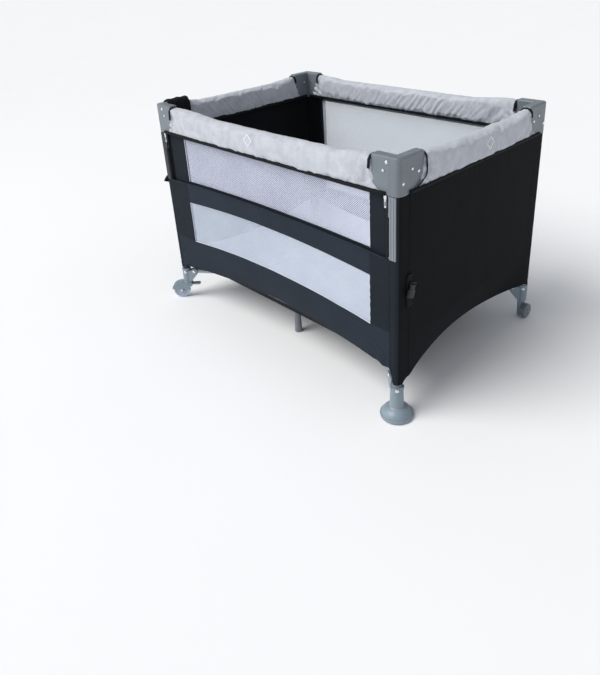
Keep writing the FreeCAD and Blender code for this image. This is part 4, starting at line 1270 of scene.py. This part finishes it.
def makeDropPanel(word, corner):
    sx = corners[corner][0]
    window = wall["windowRight"] - 0.005 if sx > 0 else -wall["windowLeft"]
    body = "rail_front_" + ("right" if sx > 0 else "left")
    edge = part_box("drop_panel")[1][0]
    fold = ((0, 0, 1), (0, 0, railZ), 0.08)
    outer = legY + wallOut - wall["dropInset"]

    def low(x):
        return frontTop(x) - 0.007
    places = spread([0.0, window, edge], wall["step"])
    rows = []
    for x in places:
        z = [low(sx * x), low(sx * x) + 0.0115, wallTop - 0.008, wallTop]
        rows.append([z[0] + (z[1] - z[0]) * i / 2 for i in range(2)] + [z[1] + (z[2] - z[1]) * i / 20
                                                                        for i in range(20)]
                    + [z[2] + (z[3] - z[2]) * i / 2 for i in range(3)])

    def column(x):
        def place(z):
            y = outer + 0.0008 * noise.noise(Vector((x * 13 * sx, 2.0, z * 12)))
            y += pucker(x, z, window + 0.008, 0.0012, 0.014, 0.014) + pucker(x, z, edge - 0.006, 0.0012, 0.012, 0.012)
            return (sx * x, -y, z)
        return place
    cloth = clothGrid("dropPanel_" + word, [column(x) for x in places], rows,
                      lambda i, j: (places[i] + places[i + 1]) / 2 > window or j < 2 or j >= 22, finishes["sideWall"])
    faceOut(cloth, (0, -1, 0))
    thicken(cloth, wall["cloth"])
    foldWith(cloth, body, *fold, "dark_cloth", "drop_panel")
    net = flatNet("dropNet_" + word, sx, -1, 0.0, window + 0.006, low, lambda x: wallTop, outer - 0.0034,
                  finishes["net"])
    foldWith(net, body, *fold, "net", "drop_mesh")
    path = [(sx * (window - 0.0008), -(outer - 0.0008), z)
            for z in spread([low(sx * window) + 0.0115, wallTop - 0.007], 0.01)]
    piping = sweep("dropPiping_" + word, path, [(0, -1, 0)] * len(path), roundSection(0.0013), finishes["piping"])
    foldWith(piping, body, *fold, "pad")
    rows = [[column(window + gap)(z) for z in spread([low(sx * window) + 0.004, wallTop - 0.004], 0.006)]
            for gap in (0.0035, 0.0075)]
    rows.append([column(edge - 0.004)(z) for z in spread([low(sx * edge) + 0.004, wallTop - 0.004], 0.006)])
    rows.append([column(x)(low(sx * x) + 0.0095) for x in places])
    foldWith(stitches("dropStitches_" + word, rows), body, *fold, "dark_cloth")
    # zip beside the leg: a tape, and two rows of small teeth
    zipX = (edge + wall["strip"][0]) / 2
    zs = spread([frontTop(zipX) + 0.001, wallTop - 0.001], 0.01)
    outer = legY + wallOut - 0.0062
    tapePath = [(sx * zipX, -(outer - 0.0022), z) for z in zs]
    tape = sweep("zipTape_" + word, tapePath, [(0, -1, 0)] * len(zs), flatSection(0.013, 0.0014), finishes["tape"])
    teeth = stitches("zipTeeth_" + word, [[(sx * (zipX + d), -outer, z) for z in zs] for d in (-0.0009, 0.0009)],
                     0.0023, 0.0013, 0.0009, "tape")
    for piece in (tape, teeth):
        rideWith(piece, "drop_" + word, "dark_cloth")


def makeBack(word, corner):
    sx = corners[corner][0]
    body = "leg_" + corner
    fold = wallFold(corner, "x")
    window = wall["backWindow"]
    cloth = longWall("backWall_" + word, corner, 1, window,
                     [lambda x: wall["backSill"], lambda x: wall["backHead"], lambda x: wallTop])
    foldWith(cloth, body, *fold, "dark_cloth", "back_wall")
    net = flatNet("backNet_" + word, sx, 1, 0.0, window + 0.006, lambda x: wall["backSill"] - 0.006,
                  lambda x: wall["backHead"] + 0.006,
                  legY + wallOut - 0.0034, finishes["backNet"])
    foldWith(net, body, *fold, "net", "back_mesh")
    outer = legY + wallOut
    edge = spread([0.0, window - 0.0008], 0.012)
    sill = [(sx * x, outer - 0.0012, wall["backSill"] + 0.0006) for x in edge]
    side = [(sx * (window - 0.0008), outer - 0.0012, z) for z in spread([wall["backSill"], wall["backHead"]], 0.012)]
    head = [(sx * x, outer - 0.0012, wall["backHead"] - 0.0006) for x in reversed(edge)]
    path = sill + side[1:-1] + head
    piping = sweep("backPiping_" + word, path, [(0, 1, 0)] * len(path), roundSection(0.0015), finishes["piping"])
    inside = [(p[0] - sx * 0.001, outer - 0.0088, p[2]) for p in side]
    welt = sweep("backWelt_" + word, inside, [(0, -1, 0)] * len(inside), flatSection(0.011, 0.0014),
                 finishes["piping"])
    def sewnAt(x, z, seams=()):
        return longWallPoint(sx, 1, x, z, outer + 0.0001, corner, seams)
    rows = []
    for gap in (0.0035, 0.0075):
        rows.append([sewnAt(x, wall["backSill"] - gap) for x in edge])
        rows.append([sewnAt(x, wall["backHead"] + gap) for x in edge])
        rows.append([sewnAt(window + gap, z, (window + 0.008,))
                     for z in spread([wall["backSill"], wall["backHead"]], 0.006)])
    for gap in (0.004, 0.009):
        rows.append([sewnAt(x, hemAt(x, legY, corner) + gap) for x in spread([0.0, wall["notch"]], 0.012)])
    sewn = stitches("backStitches_" + word, rows)
    for piece, slot in ((piping, "pad"), (welt, "pad"), (sewn, "dark_cloth")):
        foldWith(piece, body, *fold, slot)


def makeEnd(side, sx):
    for row, corner in (("front", "front_" + side), ("back", "back_" + side)):
        sy = corners[corner][1]
        body = "leg_" + corner
        fold = wallFold(corner, "y")
        cloth = endWall("endWall_%s_%s" % (side, row), corner)
        foldWith(cloth, body, *fold, "dark_cloth", side + "_wall")
        wrap = cornerWrap("cornerWrap_" + corner, corner)
        rideWith(wrap, body, "dark_cloth")
        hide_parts(side + "_wall")
        outer = legX + wallOut
        rows = []
        for gap in (0.004, 0.009):
            line = []
            for y in spread([0.0, legY - wall["wrap"]], 0.012):
                hem = hemAt(legX, y, corner)
                share = max(0.0, 1 - (y / 0.31) ** 2)
                low = max(0.0, min(1.0, (0.27 - hem - gap) / (0.27 - hem)))
                line.append((sx * (outer + 0.0002 - wall["endPull"] * share * low ** 1.7), sy * y, hem + gap))
            rows.append(line)
        sewn = stitches("endStitches_%s_%s" % (side, row), rows)
        foldWith(sewn, body, *fold, "dark_cloth")
        seam = [[(sx * (outer + 0.0001), sy * (legY - wall["wrap"] + d), z)
                 for z in spread([hems[corner]["end"] + 0.012, wallTop - 0.004], 0.006)]
                for d in (0.0035,)]
        upright = stitches("seamStitches_" + corner, seam)
        rideWith(upright, body, "dark_cloth")
        lining = makeLining(corner)
        rideWith(lining, body, "dark_cloth")


def makeLining(corner):
    # a strip of cloth that hides the leg from inside, from the long wall round to the end wall
    sx, sy = corners[corner]
    top = wallTop - 0.002 if sy > 0 else 0.478
    near = 0.0170
    if sy > 0:
        path = [(legX - 0.052, legY + wallOut - 0.0036), (legX - 0.040, legY + 0.0085), (legX - 0.026, legY + 0.001)]
    else:      # leaves room for the drop panel to come down
        path = [(legX - 0.052, legY - 0.0045), (legX - 0.040, legY - 0.0040), (legX - 0.026, legY - 0.0030)]
    path += [(legX - near * math.cos(math.radians(a)), legY - near * math.sin(math.radians(a)))
             for a in range(12, 79, 11)]
    path += [(legX + 0.001, legY - 0.026), (legX + 0.0085, legY - 0.040), (legX + wallOut - 0.0036, legY - 0.052)]
    rows = [[0.205 + (top - 0.205) * i / 40 for i in range(41)] for _ in path]

    def column(px, py):
        def place(z):
            ripple = 0.0012 * noise.noise(Vector((px * 50 * sx, py * 50 * sy, z * 9)))
            return (sx * (px - ripple), sy * (py - ripple), z)
        return place
    # the lining takes the end walls' darker navy copy, which is painted shade
    piece = clothGrid("cornerLining_" + corner, [column(*p) for p in path], rows, lambda i, j: True,
                      finishes["endWall"])
    faceOut(piece, (-sx, -sy, 0))
    return thicken(piece, 0.0012)


# ---- small hardware
def block(low, high, rounding=0.0012):
    shape = bmesh.new()
    bmesh.ops.create_cube(shape, size=1.0)
    for vertex in shape.verts:
        vertex.co = Vector([low[i] + (high[i] - low[i]) * (vertex.co[i] + 0.5) for i in range(3)])
    bmesh.ops.bevel(shape, geom=shape.edges[:], offset=rounding, segments=3, affect="EDGES", profile=0.5)
    return shape


def blocks(name, boxes, material, turn=None):
    whole = bmesh.new()
    for low, high, rounding in boxes:
        part = block(low, high, rounding)
        mesh = bpy.data.meshes.new("part")
        part.to_mesh(mesh)
        part.free()
        whole.from_mesh(mesh)
        bpy.data.meshes.remove(mesh)
    mesh = bpy.data.meshes.new(name)
    if turn:
        bmesh.ops.transform(whole, matrix=turn, verts=whole.verts)
    bmesh.ops.recalc_face_normals(whole, faces=whole.faces)
    whole.to_mesh(mesh)
    whole.free()
    mesh.materials.append(material)
    for face in mesh.polygons:
        face.use_smooth = True
    mesh.set_sharp_from_angle(angle=math.radians(50))
    return placed(name, mesh)


def turnedAbout(place, angle, axis):
    shift = Matrix.Translation(place)
    return shift @ Matrix.Rotation(math.radians(angle), 4, axis) @ shift.inverted()


def makeBuckle(side, sx, low, inset, swing):
    # webbing sewn to the end wall, with a side-release buckle hanging on it
    y = inset - legY
    x = legX + wallOut
    body = "leg_front_" + side
    zs = spread([low - 0.028, low + 0.066], 0.004)
    path = [(sx * (x + 0.0016 + 0.0016 * math.sin((z - low) * 70) ** 2), y + 0.0012 * math.sin(z * 60), z)
            for z in zs]
    strap = sweep("strap_" + side, path, [(sx, 0, 0)] * len(zs), flatSection(0.023, 0.0016), finishes["tape"])
    parts = [((x + 0.003, y - 0.0135, low), (x + 0.0098, y + 0.0135, low + 0.024), 0.0018),
             ((x + 0.0035, y - 0.0105, low + 0.022), (x + 0.0085, y + 0.0105, low + 0.032), 0.0015),
             ((x + 0.0030, y - 0.0125, low + 0.031), (x + 0.0088, y + 0.0125, low + 0.0355), 0.0016),
             ((x + 0.0030, y - 0.0125, low + 0.039), (x + 0.0088, y + 0.0125, low + 0.042), 0.0012),
             ((x + 0.0030, y - 0.0125, low + 0.033), (x + 0.0080, y - 0.0100, low + 0.041), 0.0009),
             ((x + 0.0030, y + 0.0100, low + 0.033), (x + 0.0080, y + 0.0125, low + 0.041), 0.0009),
             ((x + 0.0040, y - 0.0148, low + 0.008), (x + 0.0080, y - 0.0115, low + 0.019), 0.0011),
             ((x + 0.0040, y + 0.0115, low + 0.008), (x + 0.0080, y + 0.0148, low + 0.019), 0.0011)]
    tilt = turnedAbout((x, y, low + 0.05), swing, "Y") @ turnedAbout((x, y, low + 0.02), -26, "X")
    clip = blocks("buckle_" + side, parts, finishes["black"],
                  tilt if sx > 0 else Matrix.Scale(-1, 4, (1, 0, 0)) @ tilt)
    for piece, slot in ((strap, "dark_cloth"), (clip, "button")):
        rideWith(piece, body, slot)


def makeRivets():
    half = 0.015
    turn = math.atan2(legY, legX)
    for corner, (sx, sy) in corners.items():
        railX = legX - 0.0328
        railY = legY - 0.0348
        onDrop = [((sx * railX, sy * (legY + half + 0.0002), railZ), (0, sy, 0)),
                  ((sx * (railX + 0.010), sy * (legY + half), railZ + 0.021), (0, sy, 0)),
                  ((sx * railX, sy * (legY - half - 0.0002), railZ), (0, -sy, 0))]
        onHousing = [((sx * (legX + half + 0.0002), sy * railY, railZ), (sx, 0, 0)),
                     ((sx * (legX - half - 0.0002), sy * railY, railZ), (-sx, 0, 0)),
                     ((sx * (legX + half), sy * (legY - 0.002), railZ - 0.029), (sx, 0, 0)),
                     ((sx * (legX + half), sy * (legY - 0.062), railZ - 0.012), (sx, 0, 0))]
        front = sy < 0
        if front:
            heads = rivets("wingRivets_" + corner, onDrop, 0.0047, 0.0018)
            rideWith(heads, "drop_" + ("right" if sx > 0 else "left"), "zip")
        heads = rivets("housingRivets_" + corner, onHousing + ([] if front else onDrop), 0.0047, 0.0018)
        rideWith(heads, "leg_" + corner, "zip")
        # the foot's own rivets stand on the ears beside the base tube
        inward = Vector((-sx * math.cos(turn), -sy * math.sin(turn), 0))
        across = Vector((-inward.y, inward.x, 0))
        leg = Vector((sx * legX, sy * legY, 0))
        pivot = leg + inward * 0.034 + Vector((0, 0, 0.112))
        socket = 0.0165 if corner != "front_right" else 0.0200
        high = 0.110 if corner != "front_right" else 0.092
        places = [(pivot + across * (s * 0.0137), tuple(across * s)) for s in (1, -1)]
        places += [(leg + across * (s * (socket - 0.0004)) + Vector((0, 0, high)), tuple(across * s))
                   for s in (1, -1)]
        if corner == "front_right":
            way = Vector((math.sin(0.7), -math.cos(0.7), 0))
            places.append((leg + way * 0.0198 + Vector((0, 0, 0.0945)), tuple(way)))
        heads = rivets("footRivets_" + corner, places, 0.0058, 0.0021)
        rideWith(heads, "leg_" + corner, "zip")


def makeCasterTrim(corner):
    sx, sy = corners[corner]
    way = Vector((sx, sy, 0)).normalized()
    across = Vector((-way.y, way.x, 0))
    axle = Vector((sx * legX, sy * legY, 0.031)) + way * 0.028
    heads = rivets("axleRivets_" + corner, [(axle + across * (s * 0.0127), tuple(across * s)) for s in (1, -1)],
                   0.0050, 0.0020)
    ribs = []
    for shift in (-0.0085, -0.0045, 0.0, 0.0045, 0.0085):
        path = [axle + across * shift + way * (0.0361 * math.cos(a)) + Vector((0, 0, 0.0361 * math.sin(a))) for a in
                [math.radians(13 + 62 * m / 14) for m in range(15)]]
        outs = [(p - axle - across * shift).normalized() for p in path]
        ribs.append((path, outs))
    mesh = bmesh.new()
    for path, outs in ribs:
        rib = sweep("rib", path, outs, roundSection(0.0008, 6), finishes["foot"])
        mesh.from_mesh(rib.data)
        bpy.data.objects.remove(rib)
    data = bpy.data.meshes.new("hoodRibs_" + corner)
    mesh.to_mesh(data)
    mesh.free()
    data.materials.append(finishes["foot"])
    hood = placed("hoodRibs_" + corner, data)
    for face in data.polygons:
        face.use_smooth = True
    arc = [axle + way * (0.0345 * math.cos(a)) + Vector((0, 0, 0.0345 * math.sin(a)))
           for a in [math.radians(9 + 4 * m) for m in range(4)]]
    pads = sweep("hoodPad_" + corner, arc, [(p - axle).normalized() for p in arc], flatSection(0.019, 0.0046),
                 finishes["black"])
    for piece, slot in ((heads, "zip"), (hood, "foot"), (pads, "button")):
        rideWith(piece, "fork_" + corner, slot)


gather = {"from": -0.3270, "to": -0.2440, "half": 0.0202, "rise": 0.0385, "lobes": 2.6, "swell": 0.0034,
          "cloth": 0.0014}


def makeGather():
    # black cloth gathered over the short wing of the front left housing
    rows, count = 44, 30
    points, faces = [], []
    for k in range(rows + 1):
        share = k / rows
        t = gather["from"] + (gather["to"] - gather["from"]) * share
        lobe = abs(math.sin(math.pi * gather["lobes"] * share + 0.5)) ** 0.6
        close = min(1.0, share / 0.08, (1 - share) / 0.10) ** 0.5
        for m in range(count + 1):
            a = math.radians(-24 + 228 * m / count)
            swell = gather["swell"] * lobe + 0.0022 * noise.noise(Vector((t * 90, math.cos(a) * 2.2,
                                                                          math.sin(a) * 2.2))) - 0.003 * (1 - close)
            o = (gather["half"] + swell) * math.copysign(abs(math.cos(a)) ** 0.75, math.cos(a))
            z = railZ + 0.003 + (gather["rise"] + swell) * math.copysign(abs(math.sin(a)) ** 0.75, math.sin(a))
            points.append(sleevePlace(t + 0.0012 * math.sin(a * 5), o, z, "y", -1))
            if k and m:
                n = k * (count + 1) + m
                faces.append((n, n - 1, n - count - 2, n - count - 1))
    cloth = faceOut(meshPiece("railGather", points, faces, finishes["tape"]), (0, 0, 1))
    thicken(cloth, gather["cloth"])
    rideWith(cloth, "leg_front_left", "dark_cloth")


def makeBrim():
    # the lip round the bell foot
    profile = [(0.0440, 0.0012), (0.0462, 0.0030), (0.0472, 0.0062), (0.0466, 0.0094), (0.0450, 0.0112),
               (0.0436, 0.0106), (0.0428, 0.0080),
               (0.0430, 0.0030)]
    points, faces = [], []
    turns, size = 72, len(profile)
    for k in range(turns):
        a = fullTurn * k / turns
        points += [(legX + r * math.cos(a), -legY + r * math.sin(a), z) for r, z in profile]
    for k in range(turns):
        for m in range(size):
            n, after = (m + 1) % size, (k + 1) % turns
            faces.append((k * size + m, k * size + n, after * size + n, after * size + m))
    brim = outward(meshPiece("footBrim", points, faces, finishes["foot"]), 1e-7)
    rideWith(brim, "leg_front_right", "foot")


# ---- putting it together
setCamera()
setLight()
paintFrame()
for word, corner in (("right", "front_right"), ("left", "front_left")):
    makeFront(word, corner)
    makeDropPanel(word, corner)
print("front side made")
for word, corner in (("right", "back_right"), ("left", "back_left")):
    makeBack(word, corner)
makeEnd("right", 1)
makeEnd("left", -1)
print("back and ends made")
frontCloth = makeSleeve("front", "x", -1, (("right", 1, "rail_front_right"), ("left", -1, "rail_front_left")),
                        (0.10, 0.20, 0.6), {"right": (0.60, 2), "left": (0.50, 2)})
makeSleeve("back", "x", 1, (("right", 1, "rail_back_right"), ("left", -1, "rail_back_left")), (0.10, 0.26, 1.3),
           {"right": (0.60, 2), "left": (0.64, 2)})
rightCloth = makeSleeve("right", "y", 1, (("front", -1, "rail_right_front"), ("back", 1, "rail_right_back")),
                        (0.08, 0.14, 0.9), {"front": (0.0, 2), "back": (0.66, 2)})
makeSleeve("left", "y", -1, (("front", -1, "rail_left_front"), ("back", 1, "rail_left_back")), (0.0, 0.24, 1.5),
           {"front": (0.5, 2), "back": (0.66, 2)})
badgeOn(frontCloth, "front", "x", -1, (-0.02, 0.708), "rail_front_left")
badgeOn(rightCloth, "right", "y", 1, (0.024, 0.702), "rail_right_back")
print("sleeves made")
for word, side in (("front", -1), ("back", 1)):
    makeTray(word, side, "centre_leg_" + word)
makePad((("front", -1, "centre_leg_front"), ("back", 1, "centre_leg_back")))
makeBuckle("right", 1, 0.374, 0.027, -4)
makeBuckle("left", -1, 0.455, 0.006, -22)
makeRivets()
makeCasterTrim("front_left")
makeCasterTrim("back_left")
makeGather()
makeBrim()
print("hardware made")
